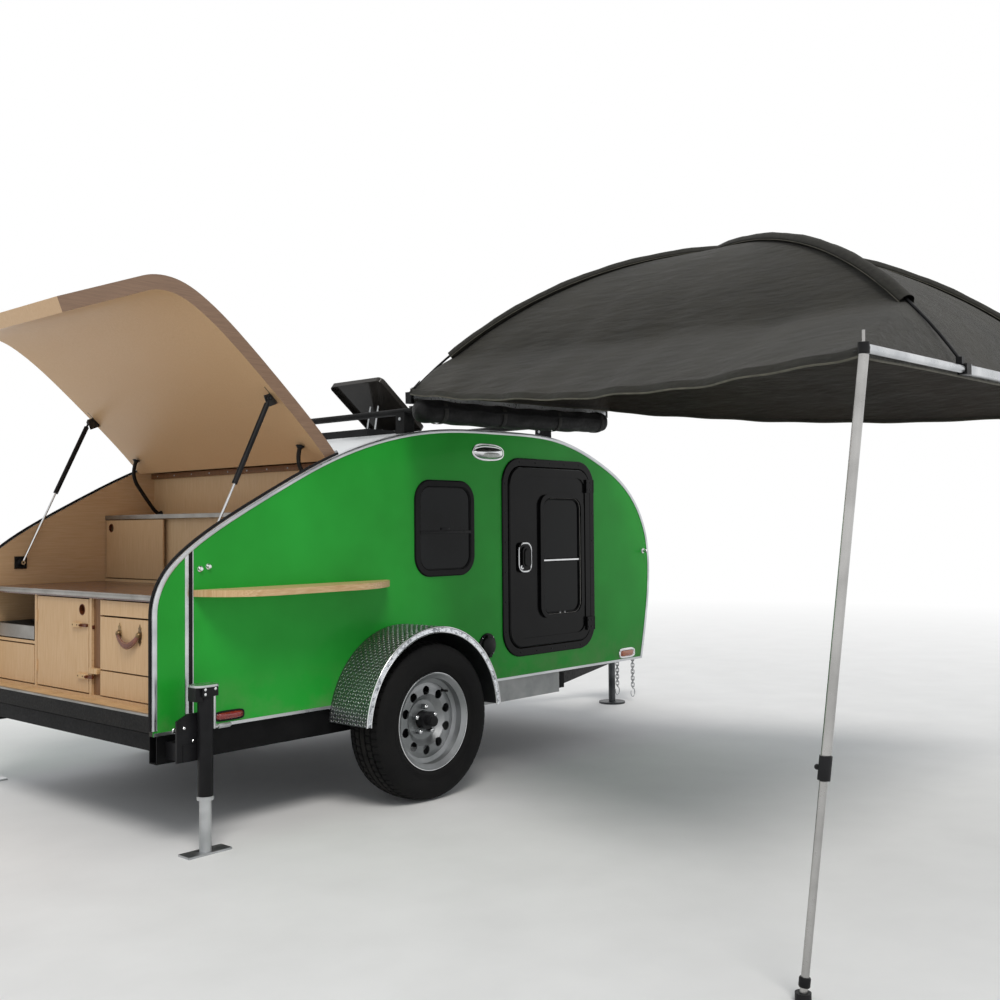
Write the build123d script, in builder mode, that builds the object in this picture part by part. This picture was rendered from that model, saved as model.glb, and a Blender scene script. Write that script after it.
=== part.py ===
from build123d import *
from math import atan2, cos, degrees, hypot, radians, sin
import os

# Teardrop camping trailer. Millimetres, +X towards the tongue, +Y to the left, +Z up.
# The origin is on the ground, under the middle of the axle.

os.makedirs("parts", exist_ok=True)

# Driving dimensions
BODY_WIDTH = 1524.0
WALL_THICKNESS = 26.0
ROOF_THICKNESS = 30.0
HATCH_THICKNESS = 56.0
BODY_BOTTOM = 418.0
REAR_X = -1214.0
REAR_TOP = 850.0
AXLE_Z = 335.0
WHEEL_MID_Y = 887.0
TYRE_RADIUS = 335.0
TYRE_WIDTH = 205.0
CLEARANCE = 5.0

OUTER_Y = BODY_WIDTH / 2
INNER_Y = OUTER_Y - WALL_THICKNESS

# Side profile from the top of the rear edge, over the roof, to the front lower corner
PROFILE = [
    (REAR_X, REAR_TOP),
    (-1168, 991),
    (-1069, 1088),
    (-860, 1217),
    (-640, 1332),
    (-420, 1437),
    (-128, 1539),
    (240, 1608),
    (702, 1626),
    (1120, 1611),
    (1499, 1503),
    (1783, 1336),
    (1925, 1120),
    (1953, 930),
    (1926, 668),
    (1870, BODY_BOTTOM),
]
CURVE = Spline(*PROFILE, tangents=((0, 1), (-0.25, -1)), tangent_scalars=(1, 1))

HINGE_X = -326.0
HINGE_LIFT = 6.0
HATCH_OPEN_DEG = 69.0
HATCH_BOTTOM = 502.0
HATCH_HALF_WIDTH = INNER_Y - 6.0


def curve_at(x, upper=True):
    """Parameter of the profile curve where it passes x on its upper side."""
    low, high = (0.0, 0.75) if upper else (0.75, 1.0)
    for _ in range(40):
        middle = (low + high) / 2
        if (CURVE @ middle).X < x:
            low = middle
        else:
            high = middle
    return low


def inside(t, depth):
    """Point at a depth under the profile curve, in the side plane."""
    here, along = CURVE @ t, CURVE % t
    return Vector(here.X + depth * along.Y, here.Y - depth * along.X)


def offset_curve(start, end, depth, count):
    """Spline that keeps a depth under the profile between two parameters."""
    points = [inside(start + (end - start) * i / count, depth) for i in range(count + 1)]
    return Spline(*points)


HINGE_T = curve_at(HINGE_X)
HINGE = inside(HINGE_T, -HINGE_LIFT)
HINGE_AXIS = Axis((HINGE.X, 0, HINGE.Y), (0, 1, 0))


def write(builder, name):
    """Label a finished piece and write it."""
    builder.part.label = name
    export_step(builder.part, f"parts/{name}.step")


def write_pair(builder, name):
    """Write a right-hand piece and its mirror image on the left."""
    write(builder, f"{name}_right")
    with BuildPart() as twin:
        mirror(builder.part, about=Plane.XZ)
    write(twin, f"{name}_left")


def box(x, y, z, mode=Mode.ADD):
    """Box between two corners, given as ranges along X, Y and Z."""
    centre = tuple((a + b) / 2 for a, b in (x, y, z))
    with Locations(centre):
        Box(*[abs(b - a) for a, b in (x, y, z)], mode=mode)


def rod(start, end, radius, mode=Mode.ADD):
    """Round bar between two points."""
    along = Vector(*end) - Vector(*start)
    with Locations(Plane(origin=start, z_dir=along)):
        Cylinder(radius, along.length, align=(Align.CENTER, Align.CENTER, Align.MIN), mode=mode)


# Walls, with the door and window openings
DOOR_X, DOOR_Z = 1056.0, 1012.0
DOOR_HOLE = (700.0, 940.0, 112.0)
WINDOW_X, WINDOW_Z = 290.0, 1158.0
WINDOW_HOLE = (350.0, 397.0, 72.0)
WINDOW_BAR_Z = 1140.0
STRUT_Y = 712.0
STRUT_WALL = (-985.0, 1015.0)
STRUT_HATCH_OPEN = (-660.0, 1684.0)
PIN_RADIUS = 4.0

with BuildPart() as wall:
    with BuildSketch(Plane.XZ.offset(INNER_Y)):
        with BuildLine():
            add(CURVE)
            Polyline(PROFILE[-1], (REAR_X, BODY_BOTTOM), PROFILE[0])
        make_face()
        with Locations((DOOR_X, DOOR_Z)):
            RectangleRounded(*DOOR_HOLE, mode=Mode.SUBTRACT)
        with Locations((WINDOW_X, WINDOW_Z)):
            RectangleRounded(*WINDOW_HOLE, mode=Mode.SUBTRACT)
    extrude(amount=WALL_THICKNESS)
    # gas strut plate and stud on the inner face
    x, z = STRUT_WALL
    box((x - 28, x + 28), (-INNER_Y, -INNER_Y + 6), (z - 28, z + 28))
    rod((x, -INNER_Y, z), (x, -INNER_Y + 12, z), 9)
write_pair(wall, "wall")

# Roof and front skin, one curved panel with the vent opening
VENT_X = 520.0
VENT_OPENING = 340.0
ROOF_START = curve_at(HINGE_X + 10)

with BuildPart() as roof_panel:
    with BuildSketch(Plane.XZ.offset(-INNER_Y)):
        with BuildLine():
            outer = CURVE.trim(ROOF_START, 1)
            add(outer)
            inner = offset_curve(ROOF_START, 1, ROOF_THICKNESS, 22)
            add(inner)
            Line(outer @ 0, inner @ 0)
            Line(outer @ 1, inner @ 1)
        make_face()
    extrude(amount=2 * INNER_Y)
    half = VENT_OPENING / 2
    box((VENT_X - half, VENT_X + half), (-half, half), (1500, 1700), Mode.SUBTRACT)
write(roof_panel, "roof_panel")

# Floor with the raised sill across the back of the galley
FLOOR_TOP = 446.0
SILL_TOP = 492.0
FACE_X = -1125.0
BULKHEAD_X = -290.0
PANEL = 18.0

with BuildPart() as floor_panel:
    box((-1190, 1838), (-INNER_Y, INNER_Y), (BODY_BOTTOM + 2, FLOOR_TOP))
    box((-1208, FACE_X), (-INNER_Y, INNER_Y), (FLOOR_TOP - 20, SILL_TOP))
write(floor_panel, "floor_panel")

with BuildPart() as bulkhead:
    box((BULKHEAD_X, BULKHEAD_X + PANEL), (-INNER_Y, INNER_Y), (FLOOR_TOP, 1445))
write(bulkhead, "bulkhead")

# Hatch: built closed, then turned open about its hinge
HATCH_END = curve_at(HINGE_X - 5)
closed_pin = Vector(STRUT_HATCH_OPEN[0] - HINGE.X, STRUT_HATCH_OPEN[1] - HINGE.Y)
closed_pin = closed_pin.rotate(Axis.Z, HATCH_OPEN_DEG) + HINGE

with BuildPart() as hatch_closed:
    with BuildSketch(Plane.XZ.offset(-HATCH_HALF_WIDTH)):
        with BuildLine():
            outer = CURVE.trim(0, HATCH_END)
            add(outer)
            inner = offset_curve(0, HATCH_END, HATCH_THICKNESS, 16)
            add(inner)
            Line(outer @ 1, inner @ 1)
            Polyline(
                outer @ 0,
                (REAR_X, HATCH_BOTTOM),
                (REAR_X + HATCH_THICKNESS, HATCH_BOTTOM),
                inner @ 0,
            )
        make_face()
    extrude(amount=2 * HATCH_HALF_WIDTH)
    rod((HINGE.X, -HATCH_HALF_WIDTH, HINGE.Y), (HINGE.X, HATCH_HALF_WIDTH, HINGE.Y), 8.6)
    for side in (-1, 1):
        # bracket plate beside the strut eye, with the pin that carries it
        edge = side * (STRUT_Y - 12)
        x, z = closed_pin.X, closed_pin.Y
        box((x - 16, x + 34), (edge, edge - side * 4), (z - 12, z + 62))
        rod((x, edge - side * 4, z), (x, side * (STRUT_Y + 8), z), PIN_RADIUS)

with BuildPart() as hatch:
    add(hatch_closed.part.rotate(HINGE_AXIS, HATCH_OPEN_DEG))
write(hatch, "hatch")

with BuildPart() as latch_closed:
    # outside handle near the lower edge, with its bolt inside
    box((REAR_X - 22, REAR_X - 1), (-60, 60), (560, 610))
    fillet(latch_closed.edges().filter_by(Axis.Z), 8)
with BuildPart() as hatch_latch:
    add(latch_closed.part.rotate(HINGE_AXIS, HATCH_OPEN_DEG))
write(hatch_latch, "hatch_latch")

# Gas struts: cylinder on the hatch pin, rod towards the wall stud
CYLINDER_RADIUS = 11.0
ROD_RADIUS = 5.0
CYLINDER_LENGTH = 385.0
EYE_RADIUS = 10.0

top = Vector(STRUT_HATCH_OPEN[0], -STRUT_Y, STRUT_HATCH_OPEN[1])
low = Vector(STRUT_WALL[0], -STRUT_Y, STRUT_WALL[1])
down = (low - top).normalized()

with BuildPart() as strut_cylinder:
    with BuildSketch(Plane.XZ.offset(STRUT_Y - 6)):
        with Locations((top.X, top.Z)):
            Circle(EYE_RADIUS)
    extrude(amount=12)
    rod(tuple(top + down * 8), tuple(top + down * 30), 5)
    rod(tuple(top + down * 26), tuple(top + down * CYLINDER_LENGTH), CYLINDER_RADIUS)
    rod(tuple(top + down * 40), tuple(top + down * (CYLINDER_LENGTH + 1)), ROD_RADIUS + 0.5, Mode.SUBTRACT)
    rod((top.X, -STRUT_Y - 20, top.Z), (top.X, -STRUT_Y + 20, top.Z), PIN_RADIUS + 0.1, Mode.SUBTRACT)
write_pair(strut_cylinder, "strut_cylinder")

with BuildPart() as strut_rod:
    with BuildSketch(Plane.XZ.offset(STRUT_Y - 6)):
        with Locations((low.X, low.Z)):
            Circle(EYE_RADIUS)
    extrude(amount=12)
    rod(tuple(low - down * 8), tuple(low - down * 372), ROD_RADIUS)
    rod((low.X, -STRUT_Y - 20, low.Z), (low.X, -STRUT_Y + 20, low.Z), PIN_RADIUS + 0.1, Mode.SUBTRACT)
write_pair(strut_rod, "strut_rod")

# Wiring looms from the bulkhead to the hatch
LOOM_RADIUS = 9.5
LOOM_Y = [("loom_right", -640.0), ("loom_left", 640.0)]
hatch_point = inside(curve_at(-420), HATCH_THICKNESS + LOOM_RADIUS + 1)
hatch_point = (hatch_point - HINGE).rotate(Axis.Z, -HATCH_OPEN_DEG) + HINGE
LOOM_ROUTE = [
    (BULKHEAD_X - 1.2, 1250.0),
    (BULKHEAD_X - 28, 1250.0),
    (BULKHEAD_X - 80, 1304.0),
    (BULKHEAD_X - 128, 1358.0),
    (BULKHEAD_X - 164, 1402.0),
    (hatch_point.X - 16, hatch_point.Y - 48),
    (hatch_point.X, hatch_point.Y),
]


def bend_radii(points):
    """Radius of each corner: as large as its two runs allow."""
    radii = []
    for a, b, c in zip(points, points[1:], points[2:]):
        first, second = Vector(*b) - Vector(*a), Vector(*c) - Vector(*b)
        half_turn = radians(first.get_angle(second)) / 2
        radii.append(0.45 * min(first.length, second.length) * cos(half_turn) / sin(half_turn))
    return radii


for name, y in LOOM_Y:
    route = [(x, y, z) for x, z in LOOM_ROUTE]
    with BuildPart() as loom:
        with BuildLine():
            path = FilletPolyline(*route, radius=bend_radii(route))
        with BuildSketch(Plane(origin=path @ 0, z_dir=path % 0)):
            Circle(LOOM_RADIUS)
        sweep(path=path)
    write(loom, name)
print("loom radii", [round(r) for r in bend_radii(route)])

# Entry doors: a fixed casing, the hinged leaf and its window
CASING = (742.0, 981.0, 130.0)
CASING_HOLE = (660.0, 900.0, 95.0)
CASING_FACE = OUTER_Y + 8
LEAF = (650.0, 890.0, 90.0)
LEAF_FACE = CASING_FACE + 6
LEAF_BACK = INNER_Y + 8
LEAF_RIM = 42.0
PRESSING = 5.0
LEAF_WINDOW_X, LEAF_WINDOW_Z = 1138.0, 1012.0
LEAF_WINDOW = (310.0, 592.0, 56.0)
DOOR_HINGE = (1400.0, 782.0)
LATCH_X, LATCH_Z = 835.0, 1010.0

with BuildPart() as door_casing:
    with BuildSketch(Plane.XZ.offset(OUTER_Y)):
        with Locations((DOOR_X, DOOR_Z)):
            RectangleRounded(*CASING)
            RectangleRounded(*CASING_HOLE, mode=Mode.SUBTRACT)
    extrude(amount=CASING_FACE - OUTER_Y)
    fillet(door_casing.faces().sort_by(Axis.Y)[0].edges(), 5)
    with BuildSketch(Plane.XZ.offset(INNER_Y)):
        with Locations((DOOR_X, DOOR_Z)):
            RectangleRounded(*DOOR_HOLE)
            RectangleRounded(*CASING_HOLE, mode=Mode.SUBTRACT)
    extrude(amount=WALL_THICKNESS)
write_pair(door_casing, "door_casing")

with BuildPart() as door:
    with BuildSketch(Plane.XZ.offset(LEAF_BACK)):
        with Locations((DOOR_X, DOOR_Z)):
            RectangleRounded(*LEAF)
        with Locations((LEAF_WINDOW_X, LEAF_WINDOW_Z)):
            RectangleRounded(*LEAF_WINDOW, mode=Mode.SUBTRACT)
    extrude(amount=LEAF_FACE - LEAF_BACK)
    chamfer(door.faces().sort_by(Axis.Y)[0].outer_wire().edges(), 4)
    with BuildSketch(Plane.XZ.offset(LEAF_FACE)):
        with Locations((DOOR_X, DOOR_Z)):
            RectangleRounded(LEAF[0] - 2 * LEAF_RIM, LEAF[1] - 2 * LEAF_RIM, LEAF[2] - LEAF_RIM / 2)
    extrude(amount=-PRESSING, mode=Mode.SUBTRACT)
    # raised window frame and the latch plate with its paddle
    with BuildSketch(Plane.XZ.offset(LEAF_FACE - PRESSING)):
        with Locations((LEAF_WINDOW_X, LEAF_WINDOW_Z)):
            RectangleRounded(LEAF_WINDOW[0] + 50, LEAF_WINDOW[1] + 34, 64)
            RectangleRounded(*LEAF_WINDOW, mode=Mode.SUBTRACT)
        with Locations((LATCH_X, LATCH_Z)):
            RectangleRounded(104, 150, 40)
    extrude(amount=PRESSING + 8)
    with BuildSketch(Plane.XZ.offset(LEAF_FACE + 8)):
        with Locations((LATCH_X + 6, LATCH_Z)):
            RectangleRounded(66, 108, 26)
    extrude(amount=8)
    for z in (650.0, 1374.0):
        box((1340, DOOR_HINGE[0]), (-DOOR_HINGE[1] - 4, -LEAF_FACE + 1), (z - 35, z + 35))
        rod((DOOR_HINGE[0], -DOOR_HINGE[1], z - 35), (DOOR_HINGE[0], -DOOR_HINGE[1], z + 35), 6)
write_pair(door, "door")

GLASS_FACE = LEAF_FACE - 6
with BuildPart() as door_glass:
    with BuildSketch(Plane.XZ.offset(GLASS_FACE - 6)):
        with Locations((LEAF_WINDOW_X, LEAF_WINDOW_Z)):
            RectangleRounded(*LEAF_WINDOW)
    extrude(amount=6)
write_pair(door_glass, "door_glass")

# Side windows: one sealed unit in each wall
with BuildPart() as window:
    with BuildSketch(Plane.XZ.offset(OUTER_Y)):
        with Locations((WINDOW_X, WINDOW_Z)):
            RectangleRounded(WINDOW_HOLE[0] + 37, WINDOW_HOLE[1] + 37, WINDOW_HOLE[2] + 18)
    extrude(amount=8)
    fillet(window.faces().sort_by(Axis.Y)[0].edges(), 3)
    with BuildSketch(Plane.XZ.offset(OUTER_Y + 8)):
        with Locations((WINDOW_X, WINDOW_Z)):
            RectangleRounded(WINDOW_HOLE[0] - 14, WINDOW_HOLE[1] - 14, WINDOW_HOLE[2] - 7)
        with Locations((WINDOW_X, WINDOW_BAR_Z)):
            Rectangle(WINDOW_HOLE[0], 14, mode=Mode.SUBTRACT)
    extrude(amount=-6, mode=Mode.SUBTRACT)
    with BuildSketch(Plane.XZ.offset(OUTER_Y - 14)):
        with Locations((WINDOW_X, WINDOW_Z)):
            RectangleRounded(*WINDOW_HOLE)
    extrude(amount=14)
write_pair(window, "window")

# Chassis frame: hollow side rails and cross members
RAIL_OUTER = 748.0
RAIL_WIDTH = 50.0
RAIL_BOTTOM, RAIL_TOP = 312.0, 417.0
RAIL_X = (-1190.0, 1140.0)
CROSS_X = (-1165.0, -520.0, 330.0, 1115.0)
TUBE_WALL = 4.0

with BuildPart() as chassis_frame:
    rail_inner = RAIL_OUTER - RAIL_WIDTH
    for side in (-1, 1):
        box(RAIL_X, (side * rail_inner, side * RAIL_OUTER), (RAIL_BOTTOM, RAIL_TOP))
    for x in CROSS_X:
        box((x - 22, x + 22), (-rail_inner, rail_inner), (RAIL_TOP - 60, RAIL_TOP))
    for side in (-1, 1):
        box(
            (RAIL_X[0] - 1, RAIL_X[1] + 1),
            (side * (rail_inner + TUBE_WALL), side * (RAIL_OUTER - TUBE_WALL)),
            (RAIL_BOTTOM + TUBE_WALL, RAIL_TOP - TUBE_WALL),
            Mode.SUBTRACT,
        )
write(chassis_frame, "chassis_frame")

# Tongue: two bars meeting at the coupler, with the plate for its jack
TONGUE_Z = (330.0, 406.0)
TONGUE_START = (1152.0, 685.0)
TONGUE_END = (2860.0, 52.0)
BALL_X, BALL_Z = 2950.0, 424.0
BALL_RADIUS = 25.4
TONGUE_JACK_X = 2640.0
JACK_TUBE_RADIUS = 28.0

with BuildPart() as tongue:
    for side in (-1, 1):
        start = Vector(TONGUE_START[0], side * TONGUE_START[1])
        end = Vector(TONGUE_END[0], side * TONGUE_END[1])
        along = end - start
        angle = degrees(atan2(along.Y, along.X))
        middle = (start + end) / 2
        with Locations(Location((middle.X, middle.Y, sum(TONGUE_Z) / 2), (0, 0, angle))):
            Box(along.length, 50, TONGUE_Z[1] - TONGUE_Z[0])
            Box(along.length + 2, 42, TONGUE_Z[1] - TONGUE_Z[0] - 8, mode=Mode.SUBTRACT)
    box((RAIL_X[1] + 1, RAIL_X[1] + 41), (-RAIL_OUTER, RAIL_OUTER), TONGUE_Z)
    box((TONGUE_JACK_X - 75, TONGUE_JACK_X + 60), (-150, 150), (TONGUE_Z[1], TONGUE_Z[1] + 8))
    # coupler: a wedge over the bars' ends, a round nose over the ball, and its latch lever
    with BuildSketch(Plane.XY.offset(TONGUE_Z[1])):
        with BuildLine():
            Polyline((BALL_X - 240, -126), (BALL_X - 240, 126), (BALL_X - 60, 44), (BALL_X - 60, -44), close=True)
        make_face()
    extrude(amount=8)
    with BuildSketch(Plane.XY.offset(TONGUE_Z[1] - 12)):
        with Locations((BALL_X - 60, 0)):
            SlotCenterToCenter(120, 84)
    extrude(amount=74)
    nose_top = tongue.faces().filter_by(Axis.Z).sort_by(Axis.Z)[-1]
    fillet(nose_top.edges(), 20)
    box((BALL_X - 130, BALL_X - 30), (-9, 9), (TONGUE_Z[1] + 40, TONGUE_Z[1] + 82))
    with Locations((BALL_X, 0, BALL_Z)):
        Sphere(BALL_RADIUS + 0.6, mode=Mode.SUBTRACT)
    rod((BALL_X, 0, BALL_Z - 60), (BALL_X, 0, BALL_Z), BALL_RADIUS + 0.6, Mode.SUBTRACT)
    rod(
        (TONGUE_JACK_X, 0, TONGUE_Z[0]),
        (TONGUE_JACK_X, 0, TONGUE_Z[1] + 20),
        JACK_TUBE_RADIUS,
        Mode.SUBTRACT,
    )
write(tongue, "tongue")

# Axle: cross tube under the rails, trailing arms and spindles
AXLE_TUBE_X = 150.0
SPINDLE_RADIUS = 20.0

with BuildPart() as axle:
    box((AXLE_TUBE_X - 32, AXLE_TUBE_X + 32), (-RAIL_OUTER, RAIL_OUTER), (RAIL_BOTTOM - 66, RAIL_BOTTOM - 2))
    for side in (-1, 1):
        box(
            (AXLE_TUBE_X - 60, AXLE_TUBE_X + 60),
            (side * (RAIL_OUTER - 46), side * (RAIL_OUTER - 4)),
            (RAIL_BOTTOM - 30, RAIL_BOTTOM),
        )
        with BuildSketch(Plane.XZ.offset(-side * (RAIL_OUTER + 10))):
            with BuildLine():
                Polyline(
                    (AXLE_TUBE_X + 30, RAIL_BOTTOM - 66),
                    (AXLE_TUBE_X + 30, RAIL_BOTTOM - 6),
                    (20, AXLE_Z + 30),
                    (-30, AXLE_Z + 30),
                    (-30, AXLE_Z - 26),
                    close=True,
                )
            make_face()
        extrude(amount=10, both=True)
        rod((0, side * RAIL_OUTER, AXLE_Z), (0, side * 880, AXLE_Z), SPINDLE_RADIUS)
write(axle, "axle")

# Wheels: tyre, rim and hub with its drum, all about the same axis
WHEEL_AXIS = Axis((0, 0, AXLE_Z), (0, 1, 0))
half_width = TYRE_WIDTH / 2
TYRE_SECTION = [
    (-68, 189),
    (-74.5, 195),
    (-78, 209),
    (-88, 212),
    (-half_width, 262),
    (-half_width * 0.96, 300),
    (-half_width * 0.80, 326),
    (-half_width * 0.45, TYRE_RADIUS),
]
RIM_SECTION = [
    (-85, 207.5), (-79, 207.5), (-76, 194), (-70, 188), (-46, 186), (-38, 172), (8, 170), (22, 186),
    (68, 188), (76, 194), (79, 207.5), (85, 207.5), (85, 201), (80, 188), (74, 182), (24, 180),
    (12, 164), (-34, 164), (-34, 160), (-38, 160), (-44, 180), (-72, 182), (-80, 194), (-85, 201),
]
DISC_SECTION = [
    (-34, 164), (-38, 140), (-38, 112), (-18, 90), (-14, 84), (-14, 40),
    (-9, 40), (-9, 86), (-13, 93), (-33, 114), (-33, 138), (-30, 164),
]
VENT_COUNT, VENT_CIRCLE, VENT_RADIUS = 10, 127.0, 20.0
LUG_COUNT, LUG_CIRCLE, STUD_RADIUS = 5, 57.0, 6.0


def wheel_section(points):
    """Closed section in the plane through the wheel axis, from width and radius."""
    with BuildSketch(Plane.YZ) as section:
        with BuildLine():
            Polyline(*[(width - WHEEL_MID_Y, AXLE_Z + radius) for width, radius in points], close=True)
        make_face()
    return section.sketch


with BuildPart() as tyre:
    mirrored = [(-width, radius) for width, radius in reversed(TYRE_SECTION)]
    revolve(wheel_section(TYRE_SECTION + mirrored), axis=WHEEL_AXIS)
write_pair(tyre, "tyre")

with BuildPart() as rim:
    revolve(wheel_section(RIM_SECTION), axis=WHEEL_AXIS)
    revolve(wheel_section(DISC_SECTION), axis=WHEEL_AXIS)
    with BuildSketch(Plane(origin=(0, -WHEEL_MID_Y - 60, AXLE_Z), z_dir=(0, 1, 0))):
        with PolarLocations(VENT_CIRCLE, VENT_COUNT):
            Circle(VENT_RADIUS)
        with PolarLocations(LUG_CIRCLE, LUG_COUNT):
            Circle(STUD_RADIUS + 0.3)
    extrude(amount=55, mode=Mode.SUBTRACT)
write_pair(rim, "rim")

FACE_Y = -WHEEL_MID_Y - 14
DRUM_Y = -WHEEL_MID_Y - 9
with BuildPart() as hub:
    # pilot and grease cap outside the disc, brake drum behind it
    rod((0, -WHEEL_MID_Y - 50, AXLE_Z), (0, DRUM_Y, AXLE_Z), 38)
    rod((0, -WHEEL_MID_Y - 85, AXLE_Z), (0, DRUM_Y, AXLE_Z), 22)
    rod((0, DRUM_Y, AXLE_Z), (0, DRUM_Y + 90, AXLE_Z), 120)
    rod((0, DRUM_Y + 14, AXLE_Z), (0, DRUM_Y + 91, AXLE_Z), 112, Mode.SUBTRACT)
    rod((0, DRUM_Y + 1, AXLE_Z), (0, DRUM_Y + 72, AXLE_Z), 32)
    with BuildSketch(Plane(origin=(0, FACE_Y - 24, AXLE_Z), z_dir=(0, 1, 0))):
        with PolarLocations(LUG_CIRCLE, LUG_COUNT):
            RegularPolygon(11, 6)
    extrude(amount=24)
    with BuildSketch(Plane(origin=(0, FACE_Y - 1, AXLE_Z), z_dir=(0, 1, 0))):
        with PolarLocations(LUG_CIRCLE, LUG_COUNT):
            Circle(STUD_RADIUS)
    extrude(amount=8)
    rod((0, DRUM_Y + 1, AXLE_Z), (0, DRUM_Y + 91, AXLE_Z), SPINDLE_RADIUS + 0.05, Mode.SUBTRACT)
write_pair(hub, "hub")

# Fenders: a half-round sheet with a turned lip along its outer edge
FENDER_RADIUS = 403.0
FENDER_SHEET = 4.0
FENDER_OUTER = 996.0
FENDER_LIP = 24.0

with BuildPart() as fender:
    with BuildSketch(Plane.XZ.offset(OUTER_Y)):
        with Locations((0, AXLE_Z)):
            Circle(FENDER_RADIUS)
            Circle(FENDER_RADIUS - FENDER_SHEET, mode=Mode.SUBTRACT)
    extrude(amount=FENDER_OUTER - OUTER_Y)
    with BuildSketch(Plane.XZ.offset(FENDER_OUTER - FENDER_SHEET)):
        with Locations((0, AXLE_Z)):
            Circle(FENDER_RADIUS)
            Circle(FENDER_RADIUS - FENDER_LIP, mode=Mode.SUBTRACT)
    extrude(amount=FENDER_SHEET)
    box((-500, 500), (-1100, -700), (-200, AXLE_Z + 28), Mode.SUBTRACT)
write_pair(fender, "fender")

# Galley: counter, carcass, drawers, door and the pull-out stove tray
COUNTER_BOTTOM, COUNTER_TOP = 890.0, 914.0
STILE_Y = (-230.0, -150.0)
STILE_BACK = 12.0
LOW_FRONT_TOP = 606.0
DIVIDER_Y = 290.0
TRAY_SHELF_Z = 678.0
GAP = 6.0
NEAR_BAY = (-INNER_Y + PANEL + GAP, STILE_Y[0] - GAP)
FAR_BAY = (DIVIDER_Y + PANEL + GAP, INNER_Y - PANEL - GAP)

with BuildPart() as counter_top:
    box((FACE_X - 12, BULKHEAD_X), (-INNER_Y, INNER_Y), (COUNTER_BOTTOM, COUNTER_TOP))
write(counter_top, "counter_top")

with BuildPart() as lower_cabinet:
    depth = (FACE_X, BULKHEAD_X)
    side_board = INNER_Y - PANEL
    box(depth, (-INNER_Y, INNER_Y), (SILL_TOP, SILL_TOP + 12))
    for y in (-INNER_Y, side_board, STILE_Y[1] - PANEL, DIVIDER_Y):
        box(depth, (y, y + PANEL), (SILL_TOP, COUNTER_BOTTOM))
    # stile set back from the fronts, and the fixed front under the deep drawer with its backing board
    box((FACE_X + STILE_BACK, BULKHEAD_X), (STILE_Y[0], STILE_Y[0] + PANEL), (SILL_TOP, COUNTER_BOTTOM))
    box((FACE_X + STILE_BACK, FACE_X + STILE_BACK + PANEL), STILE_Y, (SILL_TOP, COUNTER_BOTTOM))
    box((FACE_X, FACE_X + PANEL), NEAR_BAY, (SILL_TOP + 12 + GAP, LOW_FRONT_TOP))
    box((FACE_X + PANEL - 1, FACE_X + PANEL + 12), (-INNER_Y + 1, STILE_Y[0] + 1), (SILL_TOP, LOW_FRONT_TOP - GAP))
    box(depth, (DIVIDER_Y, side_board), (TRAY_SHELF_Z, TRAY_SHELF_Z + 12))
write(lower_cabinet, "lower_cabinet")


def drawer(name, y, z, length, side_height):
    """Inset drawer: a front board and an open box behind it."""
    with BuildPart() as piece:
        box((FACE_X, FACE_X + PANEL), y, z)
        inner_y = (y[0] + GAP, y[1] - GAP)
        inner_z = (z[0] + GAP, z[0] + side_height)
        x = (FACE_X + PANEL - 1, FACE_X + length)
        box(x, inner_y, inner_z)
        box(
            (FACE_X + PANEL, FACE_X + length - 12),
            (inner_y[0] + 12, inner_y[1] - 12),
            (inner_z[0] + 9, inner_z[1] + 50),
            Mode.SUBTRACT,
        )
    write(piece, name)


drawer("drawer_shallow", NEAR_BAY, (826.0, COUNTER_BOTTOM - GAP), 640.0, 44.0)
drawer("drawer_deep", NEAR_BAY, (LOW_FRONT_TOP + GAP, 819.0), 700.0, 180.0)
drawer("drawer_low", FAR_BAY, (SILL_TOP + 12 + GAP, TRAY_SHELF_Z - GAP), 640.0, 130.0)

with BuildPart() as stove_tray:
    box((FACE_X, FACE_X + 620), FAR_BAY, (TRAY_SHELF_Z + 18, TRAY_SHELF_Z + 74))
    box(
        (FACE_X + PANEL, FACE_X + 608),
        (FAR_BAY[0] + 12, FAR_BAY[1] - 12),
        (TRAY_SHELF_Z + 30, TRAY_SHELF_Z + 90),
        Mode.SUBTRACT,
    )
write(stove_tray, "stove_tray")

GALLEY_DOOR_Y = (STILE_Y[1] + GAP, DIVIDER_Y - GAP)
FINGER_HOLE = (-94.0, 841.0, 20.0)
with BuildPart() as galley_door:
    box((FACE_X, FACE_X + PANEL), GALLEY_DOOR_Y, (SILL_TOP + 12 + GAP, COUNTER_BOTTOM - GAP))
    y, z, radius = FINGER_HOLE
    rod((FACE_X - 10, y, z), (FACE_X + PANEL + 10, y, z), radius, Mode.SUBTRACT)
    for z in (590.0, 800.0):
        rod((FACE_X - 2, GALLEY_DOOR_Y[1], z - 25), (FACE_X - 2, GALLEY_DOOR_Y[1], z + 25), 5)
write(galley_door, "galley_door")

# Upper cabinet: a fixed panel in the middle and a sliding door at each side, its top is the shelf
UPPER_X = -560.0
SHELF_TOP = 1232.0
SLIDER = 8.0
UPPER_SEAMS = (-218.0, 228.0)
SEAM_LAP = 34.0

with BuildPart() as upper_cabinet:
    depth = (UPPER_X, BULKHEAD_X)
    box(depth, (-INNER_Y, INNER_Y), (SHELF_TOP - 18, SHELF_TOP))
    for y in (-INNER_Y, -PANEL / 2, INNER_Y - PANEL):
        box((UPPER_X + 36, BULKHEAD_X), (y, y + PANEL), (COUNTER_TOP, SHELF_TOP - 18))
    box(depth, (-INNER_Y, INNER_Y), (COUNTER_TOP, COUNTER_TOP + 12))
    box(
        (UPPER_X + 28, UPPER_X + 37),
        (UPPER_SEAMS[0] - SEAM_LAP, UPPER_SEAMS[1] + SEAM_LAP),
        (COUNTER_TOP + 11, SHELF_TOP - 17),
    )
write(upper_cabinet, "upper_cabinet")

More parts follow.
